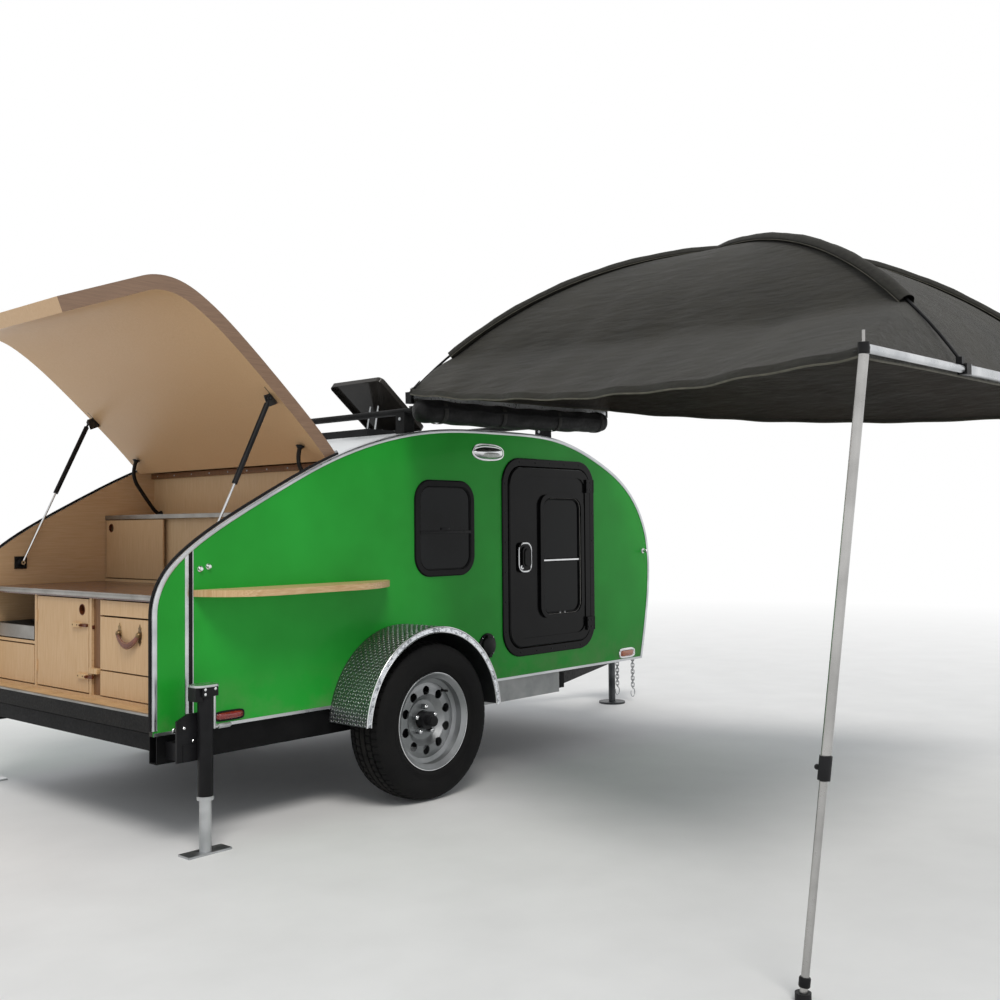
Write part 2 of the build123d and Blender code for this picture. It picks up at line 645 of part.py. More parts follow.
UPPER_DOORS = [
    ("upper_door_right", (-INNER_Y + 6, UPPER_SEAMS[0]), UPPER_X + 15, -675.0),
    ("upper_door_left", (UPPER_SEAMS[1], INNER_Y - 6), UPPER_X + 2, 683.0),
]
for name, y, x, hole_y in UPPER_DOORS:
    with BuildPart() as sliding_door:
        box((x, x + SLIDER), y, (COUNTER_TOP + 12 + CLEARANCE, SHELF_TOP - 18 - CLEARANCE))
        rod((x - 5, hole_y, 1172), (x + 15, hole_y, 1172), 18, Mode.SUBTRACT)
    write(sliding_door, name)

# Shelf on the right side, rounded at its two outer corners
SHELF_X = (-1047.0, -79.0)
SHELF_Z = (911.0, 936.0)
SHELF_DEPTH = 205.0

with BuildPart() as side_shelf:
    with BuildSketch(Plane.XY.offset(SHELF_Z[0])):
        with BuildLine():
            wall_line = -OUTER_Y
            front = -OUTER_Y - SHELF_DEPTH
            left_end, right_end = SHELF_X
            Spline(
                (left_end, wall_line), (left_end + 120, front + 28), (left_end + 270, front),
                tangents=((0.25, -1), (1, 0)),
                tangent_scalars=(1, 1),
            )
            Line((left_end + 270, front), (right_end - 300, front + 22))
            Spline(
                (right_end - 300, front + 22), (right_end - 92, front + 98), (right_end, wall_line),
                tangents=((1, 0.07), (0.2, 1)),
                tangent_scalars=(1, 1),
            )
            Line((right_end, wall_line), (left_end, wall_line))
        make_face()
    extrude(amount=SHELF_Z[1] - SHELF_Z[0])
write(side_shelf, "side_shelf")

# Roof vent: curb on the roof and the hinged lid, propped open
VENT_CURB = (1605.0, 1656.0)
VENT_HINGE = (716.0, 1662.0)
VENT_LID = 392.0
VENT_OPEN_DEG = 38.0

with BuildPart() as vent_curb:
    half = VENT_OPENING / 2
    box((VENT_X - half - 22, VENT_X + half + 22), (-half - 22, half + 22), VENT_CURB)
    box((VENT_X - half, VENT_X + half), (-half, half), (1500, 1700), Mode.SUBTRACT)
    add(roof_panel.part, mode=Mode.SUBTRACT)
write(vent_curb, "vent_curb")

with BuildPart() as lid_closed:
    box(
        (VENT_HINGE[0] - VENT_LID, VENT_HINGE[0]),
        (-VENT_LID / 2, VENT_LID / 2),
        (VENT_HINGE[1], VENT_HINGE[1] + 26),
    )
    fillet(lid_closed.edges().filter_by(Axis.Z), 30)
    offset(amount=-5, openings=lid_closed.faces().sort_by(Axis.Z)[0])
    rod((VENT_HINGE[0], -150, VENT_HINGE[1]), (VENT_HINGE[0], 150, VENT_HINGE[1]), 4.5)
with BuildPart() as vent_lid:
    add(lid_closed.part.rotate(Axis((VENT_HINGE[0], 0, VENT_HINGE[1]), (0, 1, 0)), VENT_OPEN_DEG))
write(vent_lid, "vent_lid")

# Roof bars on four feet
# name, place along X, and a level inside the roof panel where its feet start
BARS = [("crossbar_rear", 110.0, 1578.0), ("crossbar_front", 1100.0, 1600.0)]
BAR_Z = (1674.0, 1700.0)
BAR_HALF = 790.0
FOOT_Y = 690.0

for name, x, foot_z in BARS:
    with BuildPart() as crossbar:
        with BuildSketch(Plane.XZ.offset(-BAR_HALF)):
            with Locations((x, sum(BAR_Z) / 2)):
                SlotOverall(58, BAR_Z[1] - BAR_Z[0])
        extrude(amount=2 * BAR_HALF)
        for side in (-1, 1):
            box((x - 32, x + 32), (side * (FOOT_Y - 28), side * (FOOT_Y + 28)), (foot_z, BAR_Z[0] + 8))
        add(roof_panel.part, mode=Mode.SUBTRACT)
    write(crossbar, name)

# Awning on the right-hand ends of the roof bars
AWNING_X = 720.0
AWNING_SLOPE = 1.4
AWNING_Z = 1785.0
BASE_HALF = 728.0
BASE_Y = -815.0
BASE_TOP = 1772.0
RAIL_Y = -3200.0
RAIL_Z = 1635.0
RAIL_HALF = 1432.0
SLOPE_AXIS = Axis((AWNING_X, 0, AWNING_Z), (0, 1, 0))


def sloped(builder):
    """Copy of a level awning piece, with its front end raised."""
    return builder.part.rotate(SLOPE_AXIS, -AWNING_SLOPE)


with BuildPart() as base_level:
    box((AWNING_X - BASE_HALF, AWNING_X + BASE_HALF), (BASE_Y - 35, BASE_Y), (1722, BASE_TOP))
with BuildPart() as awning_base:
    add(sloped(base_level))
    for _, x, _ in BARS:
        box((x - 25, x + 25), (BASE_Y, -OUTER_Y + 20), (BAR_Z[1], BAR_Z[1] + 6))
        box((x - 25, x + 25), (BASE_Y - 1, BASE_Y + 6), (BAR_Z[1], BAR_Z[1] + 60))
write(awning_base, "awning_base")

with BuildPart() as bag_level:
    box((AWNING_X - BASE_HALF - 30, AWNING_X + BASE_HALF - 20), (-962, BASE_Y - 36), (1634, 1738))
    fillet(bag_level.edges().filter_by(Axis.X), 42)
with BuildPart() as awning_bag:
    add(sloped(bag_level))
write(awning_bag, "awning_bag")

# Two crossed bows carry the canopy: each is an arc from the base to the rail's far end
BOW_RADIUS = 5.0
BOW_BASE_X = 688.0
BOW_RAIL_X = 748.0
BOW_TOP = 2320.0
BOW_GAP = 13.0
SLEEVE_SPAN = (0.072, 0.895)


def bow_arc(side, crown_drop, end_drop=0.0):
    """Arc of one bow, with its crown and its ends lowered by given amounts."""
    base_end = Vector(AWNING_X - side * BOW_BASE_X, BASE_Y - 17, BASE_TOP + 14 - end_drop)
    rail_end = Vector(AWNING_X + side * BOW_RAIL_X, RAIL_Y, RAIL_Z + 27 - end_drop)
    crown = (base_end + rail_end) / 2
    return ThreePointArc(base_end, (crown.X, crown.Y, BOW_TOP - crown_drop), rail_end)


def socket(end):
    """Square socket that holds one end of a bow."""
    box((end.X - 9, end.X + 9), (end.Y - 9, end.Y + 9), (end.Z - 13.5, end.Z + 8))


with BuildPart() as bows_level:
    for side, drop in ((1, 0.0), (-1, BOW_GAP)):
        with BuildLine():
            bow = bow_arc(side, drop)
        with BuildSketch(Plane(origin=bow @ 0, z_dir=bow % 0)):
            Circle(BOW_RADIUS)
        sweep(path=bow)
        socket(bow @ 0)
        socket(bow @ 1)
    share = BOW_BASE_X / (BOW_BASE_X + BOW_RAIL_X)
    cross_y = BASE_Y - 17 + share * (RAIL_Y - BASE_Y + 17)
    rod((AWNING_X, cross_y, BOW_TOP - BOW_GAP - 8), (AWNING_X, cross_y, BOW_TOP + 7), 14)
with BuildPart() as awning_bows:
    add(sloped(bows_level))
write(awning_bows, "awning_bows")

# The canopy hangs under the bows, with its corners pulled out to the base and the rail's ends
CANOPY_SHEET = 3.0
CANOPY_DROP = 26.0
CANOPY_RINGS = 9
BASE_HEM = (BASE_HALF + 10, BASE_Y - 40, BASE_TOP)
RAIL_HEM = (RAIL_HALF - 6, RAIL_Y + 16, RAIL_Z)


def ring(base, rail):
    """Four-sided section through the canopy, from its half width, y and z at both edges."""
    near = Vector(AWNING_X, base[1], base[2])
    far = Vector(AWNING_X, rail[1], rail[2])
    plane = Plane(origin=near, x_dir=(1, 0, 0), z_dir=(far - near).cross(Vector(1, 0, 0)))
    towards = plane.to_local_coords(far).Y
    with BuildSketch(plane) as section:
        with BuildLine():
            corners = ((-base[0], 0), (base[0], 0), (rail[0], towards), (-rail[0], towards))
            Polyline(*corners, close=True)
        make_face()
    return section.sketch


with BuildPart() as dome:
    crease = bow_arc(1, CANOPY_DROP, CANOPY_DROP)
    rings = [ring(BASE_HEM, RAIL_HEM)]
    for i in range(CANOPY_RINGS):
        from_base = crease @ (SLEEVE_SPAN[0] + (share - 0.004 - SLEEVE_SPAN[0]) * i / (CANOPY_RINGS - 1))
        from_rail = crease @ (SLEEVE_SPAN[1] + (share + 0.004 - SLEEVE_SPAN[1]) * i / (CANOPY_RINGS - 1))
        rings.append(ring(*[(abs(p.X - AWNING_X), p.Y, p.Z) for p in (from_base, from_rail)]))
    loft(rings, ruled=True)

with BuildPart() as canopy_level:
    add(dome.part)
    add(dome.part.moved(Location((0, 0, -CANOPY_SHEET))), mode=Mode.SUBTRACT)
with BuildPart() as awning_canopy:
    add(sloped(canopy_level))
write(awning_canopy, "awning_canopy")

with BuildPart() as rail_level:
    box(
        (AWNING_X - BASE_HALF, AWNING_X + BASE_HALF),
        (RAIL_Y - 13, RAIL_Y + 13),
        (RAIL_Z - 13, RAIL_Z + 13),
    )
    for side in (-1, 1):
        rod((AWNING_X + side * (BASE_HALF - 1), RAIL_Y, RAIL_Z), (AWNING_X + side * RAIL_HALF, RAIL_Y, RAIL_Z), 12)
        box(
            (AWNING_X + side * (BASE_HALF - 34), AWNING_X + side * (BASE_HALF + 8)),
            (RAIL_Y - 16, RAIL_Y + 16),
            (RAIL_Z - 16, RAIL_Z + 16),
        )
        eye = AWNING_X + side * RAIL_HALF
        rod((eye, RAIL_Y, RAIL_Z - 14), (eye, RAIL_Y, RAIL_Z + 14), 15)
        rod((eye, RAIL_Y, RAIL_Z - 40), (eye, RAIL_Y, RAIL_Z + 40), PIN_RADIUS + 1, Mode.SUBTRACT)
with BuildPart() as awning_rail:
    add(sloped(rail_level))
write(awning_rail, "awning_rail")

POLES = [("awning_pole_rear", -1), ("awning_pole_front", 1)]
POLE_LEAN = (158.0, 111.0)
COLLAR_Z = 560.0
for name, side in POLES:
    eye = (Vector(side * RAIL_HALF, RAIL_Z - AWNING_Z)).rotate(Axis.Z, AWNING_SLOPE)
    top_x = AWNING_X + eye.X
    top_z = AWNING_Z + eye.Y - 17
    head = Vector(top_x, RAIL_Y, top_z)
    foot = Vector(top_x + side * POLE_LEAN[0], RAIL_Y + POLE_LEAN[1], 8)
    collar = foot + (head - foot) * ((COLLAR_Z - foot.Z) / (head.Z - foot.Z))
    knee = (collar - foot).normalized() * 30
    with BuildPart() as pole:
        rod(tuple(foot), tuple(collar), 10)
        rod(tuple(collar - knee), tuple(collar + knee), 16)
        rod(tuple(collar), tuple(head), 13)
        rod(tuple(head - knee / 5), (head.X, head.Y, head.Z + 62), PIN_RADIUS)
        rod((foot.X, foot.Y, 0), (foot.X, foot.Y, 22), 20)
    write(pole, name)

# Rear corner jacks: a bracket and tube on the frame, and the leg that slides in it
JACK_X, JACK_Y = -1078.0, -885.0
CRANK_X = JACK_X + 37.0
LEG_RADIUS = 22.0

with BuildPart() as rear_jack:
    rod((JACK_X, JACK_Y, 190), (JACK_X, JACK_Y, 582), JACK_TUBE_RADIUS)
    rod((JACK_X, JACK_Y, 180), (JACK_X, JACK_Y, 574), LEG_RADIUS + 1.5, Mode.SUBTRACT)
    box((JACK_X - 76, JACK_X - 6), (JACK_Y + 24, -RAIL_OUTER), (330, 392))
    with BuildSketch(Plane.XZ.offset(-JACK_Y - 36)):
        with BuildLine():
            Polyline(
                (JACK_X - 100, 330), (JACK_X - 100, 478), (JACK_X - 52, 500), (JACK_X - 4, 500), (JACK_X - 4, 330),
                close=True,
            )
        make_face()
    extrude(amount=10)
    # gear head with the block behind it and its cap
    box((JACK_X - 56, JACK_X - 26), (JACK_Y - 24, JACK_Y + 24), (546, 597))
    box((JACK_X - 33, JACK_X + 33), (JACK_Y - 34, JACK_Y + 34), (562, 598))
    with BuildSketch(Plane.XY.offset(596)):
        with Locations((JACK_X - 6, JACK_Y)):
            RectangleRounded(100, 76, 26)
    extrude(amount=8)
    # folded crank
    rod((JACK_X + 26, JACK_Y, 580), (CRANK_X + 4, JACK_Y, 580), 8)
    rod((CRANK_X, JACK_Y, 586), (CRANK_X, JACK_Y, 440), 7)
    rod((CRANK_X, JACK_Y, 446), (CRANK_X + 72, JACK_Y, 446), 6)
    rod((JACK_X, JACK_Y, 560), (JACK_X, JACK_Y, 574), LEG_RADIUS + 1.5, Mode.SUBTRACT)
write_pair(rear_jack, "rear_jack")

with BuildPart() as jack_leg:
    rod((JACK_X, JACK_Y, 6), (JACK_X, JACK_Y, 380), LEG_RADIUS)
    box((JACK_X - 90, JACK_X + 90), (JACK_Y - 34, JACK_Y + 34), (0, 8))
write_pair(jack_leg, "jack_leg")

with BuildPart() as tongue_jack:
    rod((TONGUE_JACK_X, 0, 270), (TONGUE_JACK_X, 0, 800), JACK_TUBE_RADIUS)
    rod((TONGUE_JACK_X, 0, 260), (TONGUE_JACK_X, 0, 790), LEG_RADIUS + 1.5, Mode.SUBTRACT)
    with Locations((TONGUE_JACK_X, 0, TONGUE_Z[1] + 8 + 5)):
        Cylinder(62, 10)
    rod((TONGUE_JACK_X, 0, TONGUE_Z[1]), (TONGUE_JACK_X, 0, TONGUE_Z[1] + 30), LEG_RADIUS + 1.5, Mode.SUBTRACT)
    box((TONGUE_JACK_X - 38, TONGUE_JACK_X + 38), (-38, 38), (786, 828))
    rod((TONGUE_JACK_X, 30, 808), (TONGUE_JACK_X, 150, 808), 8)
    rod((TONGUE_JACK_X, 144, 812), (TONGUE_JACK_X, 144, 640), 7)
    rod((TONGUE_JACK_X, 138, 646), (TONGUE_JACK_X, 230, 646), 11)
write(tongue_jack, "tongue_jack")

with BuildPart() as tongue_leg:
    rod((TONGUE_JACK_X, 0, 6), (TONGUE_JACK_X, 0, 520), LEG_RADIUS)
    with Locations((TONGUE_JACK_X, 0, 6)):
        Cylinder(85, 12)
write(tongue_leg, "tongue_leg")

stroke = hypot(low.X - top.X, low.Z - top.Z) - hypot(STRUT_WALL[0] - closed_pin.X, STRUT_WALL[1] - closed_pin.Y)
turn_open = degrees(atan2(low.Z - top.Z, low.X - top.X))
turn_closed = degrees(atan2(STRUT_WALL[1] - closed_pin.Y, STRUT_WALL[0] - closed_pin.X))
print("hinge", HINGE, "strut stroke", round(stroke, 2), "strut turns", turn_open, turn_closed)
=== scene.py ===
import math

import bmesh
import bpy
from mathutils import Matrix, Vector, noise


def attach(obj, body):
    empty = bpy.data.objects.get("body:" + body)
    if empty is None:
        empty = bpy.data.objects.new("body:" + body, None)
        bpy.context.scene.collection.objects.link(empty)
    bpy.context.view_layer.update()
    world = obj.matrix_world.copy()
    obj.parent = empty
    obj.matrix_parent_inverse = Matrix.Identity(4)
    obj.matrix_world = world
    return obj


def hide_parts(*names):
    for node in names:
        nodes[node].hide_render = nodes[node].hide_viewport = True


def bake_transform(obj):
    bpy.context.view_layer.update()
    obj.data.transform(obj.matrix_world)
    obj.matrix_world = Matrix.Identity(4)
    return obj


# Looks of the teardrop trailer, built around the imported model.
# Metres, +X towards the tongue, +Y to the trailer's left, +Z up, origin on the ground under the axle.

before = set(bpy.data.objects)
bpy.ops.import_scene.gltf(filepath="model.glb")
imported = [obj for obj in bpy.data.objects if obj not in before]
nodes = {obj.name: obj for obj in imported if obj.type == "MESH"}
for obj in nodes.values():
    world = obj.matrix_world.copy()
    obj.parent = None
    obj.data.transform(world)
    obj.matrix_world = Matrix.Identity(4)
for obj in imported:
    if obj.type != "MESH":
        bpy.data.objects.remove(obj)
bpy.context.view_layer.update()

# Camera at the photograph's viewpoint
CAMERA_PLACE = Vector((-3.41475, -4.36683, 1.1549))
CAMERA_YAW, CAMERA_PITCH, CAMERA_ROLL = 0.72248575, 0.0252625, -0.0082008
LENS = 40.4

ahead = Vector((
    math.cos(CAMERA_YAW) * math.cos(CAMERA_PITCH),
    math.sin(CAMERA_YAW) * math.cos(CAMERA_PITCH),
    math.sin(CAMERA_PITCH),
))
level = Vector((math.sin(CAMERA_YAW), -math.cos(CAMERA_YAW), 0.0))
upright = level.cross(ahead)
right = level * math.cos(CAMERA_ROLL) + upright * math.sin(CAMERA_ROLL)
up = upright * math.cos(CAMERA_ROLL) - level * math.sin(CAMERA_ROLL)

camera_data = bpy.data.cameras.new("camera")
camera_data.lens = LENS
camera_data.sensor_width = 36.0
camera = bpy.data.objects.new("camera", camera_data)
turn = Matrix((right, up, -ahead)).transposed().to_4x4()
camera.matrix_world = Matrix.Translation(CAMERA_PLACE) @ turn
bpy.context.scene.collection.objects.link(camera)
bpy.context.scene.camera = camera
bpy.context.scene.view_settings.view_transform = "Standard"


# Materials

def rgb(code):
    """Linear colour from an sRGB hex code."""
    channels = []
    for i in (0, 2, 4):
        value = int(code[i:i + 2], 16) / 255
        channels.append(value / 12.92 if value <= 0.04045 else ((value + 0.055) / 1.055) ** 2.4)
    return (*channels, 1.0)


def add_node(tree, kind, settings=None, **inputs):
    """New node with its settings and inputs, given by name or as i0, i1 ... by number."""
    made = tree.nodes.new("ShaderNode" + kind)
    for key, value in (settings or {}).items():
        setattr(made, key, value)
    for key, value in inputs.items():
        socket = made.inputs[int(key[1:]) if key[1:].isdigit() else key.replace("_", " ")]
        if isinstance(value, bpy.types.NodeSocket):
            tree.links.new(value, socket)
        else:
            socket.default_value = value
    return made


class Finish:
    """A node material around one Principled shader, patterned in object space."""

    def __init__(self, name, metallic=0.0, **sockets):
        self.material = bpy.data.materials.new(name)
        self.material.use_nodes = True
        self.tree = self.material.node_tree
        self.shader = self.tree.nodes["Principled BSDF"]
        self.shader.inputs["Metallic"].default_value = metallic
        for socket, value in sockets.items():
            title = socket.replace("_", " ").title().replace("Ior", "IOR")
            self.shader.inputs[title].default_value = value
        coordinates = self.tree.nodes.new("ShaderNodeTexCoord")
        self.place = coordinates.outputs["Object"]
        self.facing = coordinates.outputs["Normal"]

    def node(self, kind, settings=None, **inputs):
        return add_node(self.tree, kind, settings, **inputs)

    def noise(self, scale, detail=3.0, stretch=(1, 1, 1), roughness=0.55):
        """Noise between about 0.3 and 0.7; the pattern is drawn out where stretch is small."""
        vector = self.node("Mapping", Vector=self.place, Scale=stretch).outputs[0]
        made = self.node("TexNoise", Vector=vector, Scale=scale, Detail=detail, Roughness=roughness)
        return made.outputs["Fac"]

    def ramp(self, value, low, high, to_low=0.0, to_high=1.0):
        """Value carried from one range to another, held at its ends."""
        made = self.node("MapRange", From_Min=low, From_Max=high, To_Min=to_low, To_Max=to_high, Value=value)
        return made.outputs["Result"]

    def spread(self, value, low, high):
        """Noise carried to a range."""
        return self.ramp(value, 0.3, 0.7, low, high)

    def math(self, operation, a, b=0.0):
        return self.node("Math", {"operation": operation}, i0=a, i1=b).outputs[0]

    def times(self, a, b):
        return self.math("MULTIPLY", a, b)

    def minus(self, a, b):
        return self.math("SUBTRACT", a, b)

    def most(self, a, b):
        return self.math("MAXIMUM", a, b)

    def length(self, a, b):
        """Length of the hypotenuse on two sides."""
        return self.math("SQRT", self.math("ADD", self.times(a, a), self.times(b, b)))

    def mix(self, share, a, b):
        return self.node("Mix", {"data_type": "RGBA"}, i0=share, i6=a, i7=b).outputs[2]

    def blend(self, share, a, b):
        return self.node("Mix", {"data_type": "FLOAT"}, i0=share, i2=a, i3=b).outputs[0]

    def shade(self, value, dark, light, low=0.3, high=0.7):
        """Two colours blended by a noise."""
        return self.mix(self.ramp(value, low, high), rgb(dark), rgb(light))

    def axis(self, name, vector=None):
        """One coordinate of the place, or of another vector."""
        return self.node("SeparateXYZ", Vector=vector or self.place).outputs[name]

    def far(self, name, vector=None):
        """Distance from the middle along one axis."""
        return self.math("ABSOLUTE", self.axis(name, vector))

    def turned(self, name, low=0.6, high=0.8):
        """1 on faces that look along an axis."""
        return self.ramp(self.far(name, self.facing), low, high)

    def band(self, value, low, high, soft=0.001):
        """1 between two levels, 0 outside them."""
        return self.times(
            self.ramp(value, low - soft, low + soft), self.ramp(value, high + soft, high - soft)
        )

    def region(self, tests):
        """Product of bands: each test is a value with its low and high level."""
        share = self.band(*tests[0])
        for test in tests[1:]:
            share = self.times(share, self.band(*test))
        return share

    def bump(self, height, distance, strength=1.0):
        """Bump laid over whatever bump the shader already has."""
        socket = self.shader.inputs["Normal"]
        made = self.node("Bump", Height=height, Distance=distance, Strength=strength)
        if socket.links:
            self.tree.links.new(socket.links[0].from_socket, made.inputs["Normal"])
        self.tree.links.new(made.outputs[0], socket)

    def set(self, colour=None, roughness=None, metallic=None):
        for name, value in (("Base Color", colour), ("Roughness", roughness), ("Metallic", metallic)):
            if isinstance(value, bpy.types.NodeSocket):
                self.tree.links.new(value, self.shader.inputs[name])
            elif value is not None:
                self.shader.inputs[name].default_value = value
        return self


def plain(name, dark, light, scale, rough, relief, stretch=(1, 1, 1), detail=4.0, metallic=0.0, **sockets):
    """Two close colours blended by noise, with roughness and relief from finer noise."""
    finish = Finish(name, metallic, **sockets)
    colour = finish.shade(finish.noise(scale, 2.0, stretch), dark, light, 0.35, 0.65)
    fine = finish.noise(scale * 9, detail, stretch)
    finish.bump(fine, relief)
    return finish.set(colour, finish.spread(fine, *rough))


def ply_colour(finish, pale="d9bd8c", deep="b98f5a", figured="c9a873", contrast=1.0):
    """Birch ply: long fine grain, upright on faces that look along X, with faint figure."""
    lengthwise = finish.noise(30.0, 6.0, (0.35, 7.0, 7.0), 0.6)
    upwards = finish.noise(30.0, 6.0, (7.0, 7.0, 0.35), 0.6)
    grain = finish.blend(finish.turned("X"), lengthwise, upwards)
    figure = finish.noise(3.0, 2.0, (0.5, 2.4, 2.4))
    half = 0.16 / contrast
    colour = finish.shade(grain, pale, deep, 0.5 - half, 0.5 + half)
    return finish.mix(finish.spread(figure, 0.0, 0.5), colour, rgb(figured)), grain


def ply_finish(name, pale, deep, rough=(0.42, 0.6), figured="c9a873", contrast=1.0, **sockets):
    finish = Finish(name, **sockets)
    colour, grain = ply_colour(finish, pale, deep, figured, contrast)
    finish.bump(grain, 0.0002)
    return finish.set(colour, finish.spread(grain, *rough))


def metal(name, dark, light, rough, relief=0.0002, brushed=(1, 1, 1), scale=9.0, **sockets):
    return plain(name, dark, light, scale, rough, relief, brushed, 5.0, 1.0, **sockets)


def wall_finish():
    """Green paint outside, ply inside, dark sealed edges."""
    finish = Finish("wall_paint", Coat_Weight=0.06, Coat_Roughness=0.05, Specular_IOR_Level=0.16)
    across = finish.far("Y")
    face = finish.turned("Y")
    outer = finish.times(face, finish.ramp(across, 0.748, 0.756))
    green = finish.shade(finish.noise(2.2, 3.0), "1e942b", "25a636", 0.32, 0.68)
    low = finish.ramp(finish.axis("Z"), 0.44, 0.62, 0.35, 0.0)
    dust = finish.times(low, finish.ramp(finish.noise(7.0, 6.0), 0.4, 0.65))
    green = finish.mix(dust, green, rgb("7d8a66"))
    wood, grain = ply_colour(finish, "d8b995", "c39e76", "cfae86", 0.6)
    inside = finish.mix(face, finish.shade(grain, "17150f", "2a251c"), wood)
    latch_plate = finish.region([
        (across, 0.72, 0.7355), (finish.axis("X"), -1.015, -0.955), (finish.axis("Z"), 0.985, 1.045),
    ])
    inside = finish.mix(latch_plate, inside, rgb("1a1a1b"))
    peel = finish.noise(160.0, 2.0)
    finish.bump(peel, 0.00012)
    rough = finish.math("ADD", finish.spread(peel, 0.3, 0.42), finish.times(dust, 0.4))
    return finish.set(finish.mix(outer, inside, green), rough)


def skin_finish(name, centre, inside, edges, mask=lambda finish: 1.0, details=None):
    """Mill aluminium on the side that faces away from a centre line, wood on the other."""
    finish = Finish(name)
    x, z = finish.minus(finish.axis("X"), centre[0]), finish.minus(finish.axis("Z"), centre[1])
    nx, nz = finish.axis("X", finish.facing), finish.axis("Z", finish.facing)
    out = finish.math("ADD", finish.times(nx, x), finish.times(nz, z))
    outer = finish.times(finish.ramp(out, 0.02, 0.06), mask(finish))
    side = finish.turned("Y", 0.5)
    smear = finish.noise(5.0, 5.0, (1.0, 0.35, 1.0))
    fine = finish.noise(60.0, 3.0, (1.0, 0.25, 1.0))
    wood, grain = ply_colour(finish, *inside)
    body = finish.mix(outer, wood, finish.shade(smear, "d2d5d7", "e3e5e6"))
    body = finish.mix(side, body, finish.shade(grain, *edges))
    bare = finish.times(outer, finish.minus(1.0, side))
    if details:
        body = details(finish, body)
    finish.bump(fine, 0.00025)
    return finish.set(body, finish.spread(smear, 0.38, 0.46), finish.times(bare, 0.75))


def glass_finish(name, dark, light):
    """Dark tinted pane: nearly opaque smoked acrylic with a hard gloss."""
    finish = Finish(name, Coat_Weight=0.04, Coat_Roughness=0.02, Specular_IOR_Level=0.12)
    haze = finish.noise(3.0, 3.0)
    finish.bump(finish.noise(40.0, 2.0), 0.00002)
    return finish.set(finish.shade(haze, dark, light), finish.spread(haze, 0.05, 0.1))


def window_finish():
    """Black rubber and frame, dark glass where the pane lies back from its face."""
    finish = Finish("window_unit", Specular_IOR_Level=0.14)
    glazed = finish.times(finish.turned("Y", 0.8, 0.95), finish.ramp(finish.far("Y"), 0.7675, 0.7655))
    glass = finish.shade(finish.noise(3.0, 3.0), "0c0e0f", "16191b")
    fine = finish.noise(90.0, 3.0)
    finish.bump(fine, 0.00008)
    rough = finish.minus(finish.spread(fine, 0.42, 0.55), finish.times(glazed, 0.38))
    return finish.set(finish.mix(glazed, finish.shade(fine, "101011", "18181a"), glass), rough)


def two_tone(name, base, other, where, rough, other_rough, metallic=(0.0, 0.0), relief=0.0001, **sockets):
    """One finish with a second one in the part of the frame that a function of the finish gives."""
    finish = Finish(name, **sockets)
    share = where(finish)
    broad = finish.noise(8.0, 3.0)
    fine = finish.noise(110.0, 4.0)
    broad = finish.ramp(broad, 0.35, 0.65)
    first, second = (finish.mix(broad, rgb(dark), rgb(light)) for dark, light in (base, other))
    finish.bump(fine, relief)
    roughness = finish.blend(share, finish.spread(fine, *rough), finish.spread(fine, *other_rough))
    shine = finish.math("ADD", metallic[0], finish.times(share, metallic[1] - metallic[0]))
    return finish.set(finish.mix(share, first, second), roughness, shine)


def distance(finish, x, z):
    """Distance from a line that runs across the trailer."""
    return finish.length(finish.minus(finish.axis("X"), x), finish.minus(finish.axis("Z"), z))


def radius_from_axle(finish):
    """Distance from the wheels' axis."""
    return finish.length(finish.axis("X"), finish.minus(finish.axis("Z"), AXLE_Z))


def from_awning_middle(finish):
    return finish.math("ABSOLUTE", finish.minus(finish.axis("X"), AWNING_X))


def hatch_details(finish, body):
    """Black plates and pins that carry the struts on the open hatch, and its metal hinge roll."""
    across = finish.far("Y")
    away = distance(finish, -0.66, 1.684)
    roll = finish.ramp(distance(finish, -0.3281, 1.4805), 0.0096, 0.0092)
    body = finish.mix(roll, body, rgb("a6a8aa"))
    plate = finish.times(finish.ramp(away, 0.048, 0.047), finish.band(across, 0.6953, 0.7007, 0.0003))
    pin = finish.times(finish.ramp(away, 0.0058, 0.0052), finish.band(across, 0.69, 0.722))
    return finish.mix(finish.most(plate, pin), body, rgb("1a1a1b"))


def fender_finish():
    """Dull tread plate with a hammered, shinier lip along its outer edge, and bright and dark streaks
    painted on the lip as reflections.
    """
    finish = Finish("fender_plate", 1.0)
    lip = finish.times(finish.turned("Y"), finish.ramp(finish.far("Y"), 0.99, 0.9925))
    plate = finish.shade(finish.noise(5.0, 3.0), "646769", "7b7e80", 0.35, 0.65)
    fine = finish.noise(90.0, 3.0)
    hammered = finish.times(finish.noise(55.0, 2.0), lip)
    # painted reflections: bright and dark streaks on the lip stand for the glints of a wrinkled chrome lip
    streaks = finish.ramp(finish.noise(46.0, 4.0, (1.0, 1.0, 1.0), 0.7), 0.5, 0.6, 0.0, 0.75)
    lip_painted_reflections = finish.mix(streaks, rgb("e6e9ee"), rgb("50545c"))
    finish.bump(fine, 0.00006)
    finish.bump(hammered, 0.0022)
    rough = finish.minus(finish.spread(fine, 0.42, 0.54), finish.times(lip, 0.24))
    return finish.set(finish.mix(lip, plate, lip_painted_reflections), rough)


def jack_metal(finish):
    """Gear cap and crank of a rear jack."""
    cap = finish.most(
        finish.ramp(finish.axis("Z"), 0.5955, 0.5962), finish.ramp(finish.axis("X"), -1.0446, -1.0443)
    )
    crank = finish.times(
        finish.ramp(finish.axis("X"), -1.0477, -1.0473), finish.ramp(finish.axis("Z"), 0.5619, 0.5615)
    )
    return finish.most(cap, crank)


AXLE_Z = 0.335
AWNING_X = 0.72
BLACK = ("121213", "1d1d1f")
SILVER = ("b9bcbf", "d6d8da")
CHROME = ("c9cbcd", "e6e7e8")
STEEL = ("b4b6b8", "cfd1d2")
SATIN_METAL, SATIN_BLACK = (0.25, 0.38), (0.4, 0.55)
MATT = {"Specular_IOR_Level": 0.15}
HALF_MATT = {"Specular_IOR_Level": 0.2}
FACED = {"contrast": 0.6, "Specular_IOR_Level": 0.3}

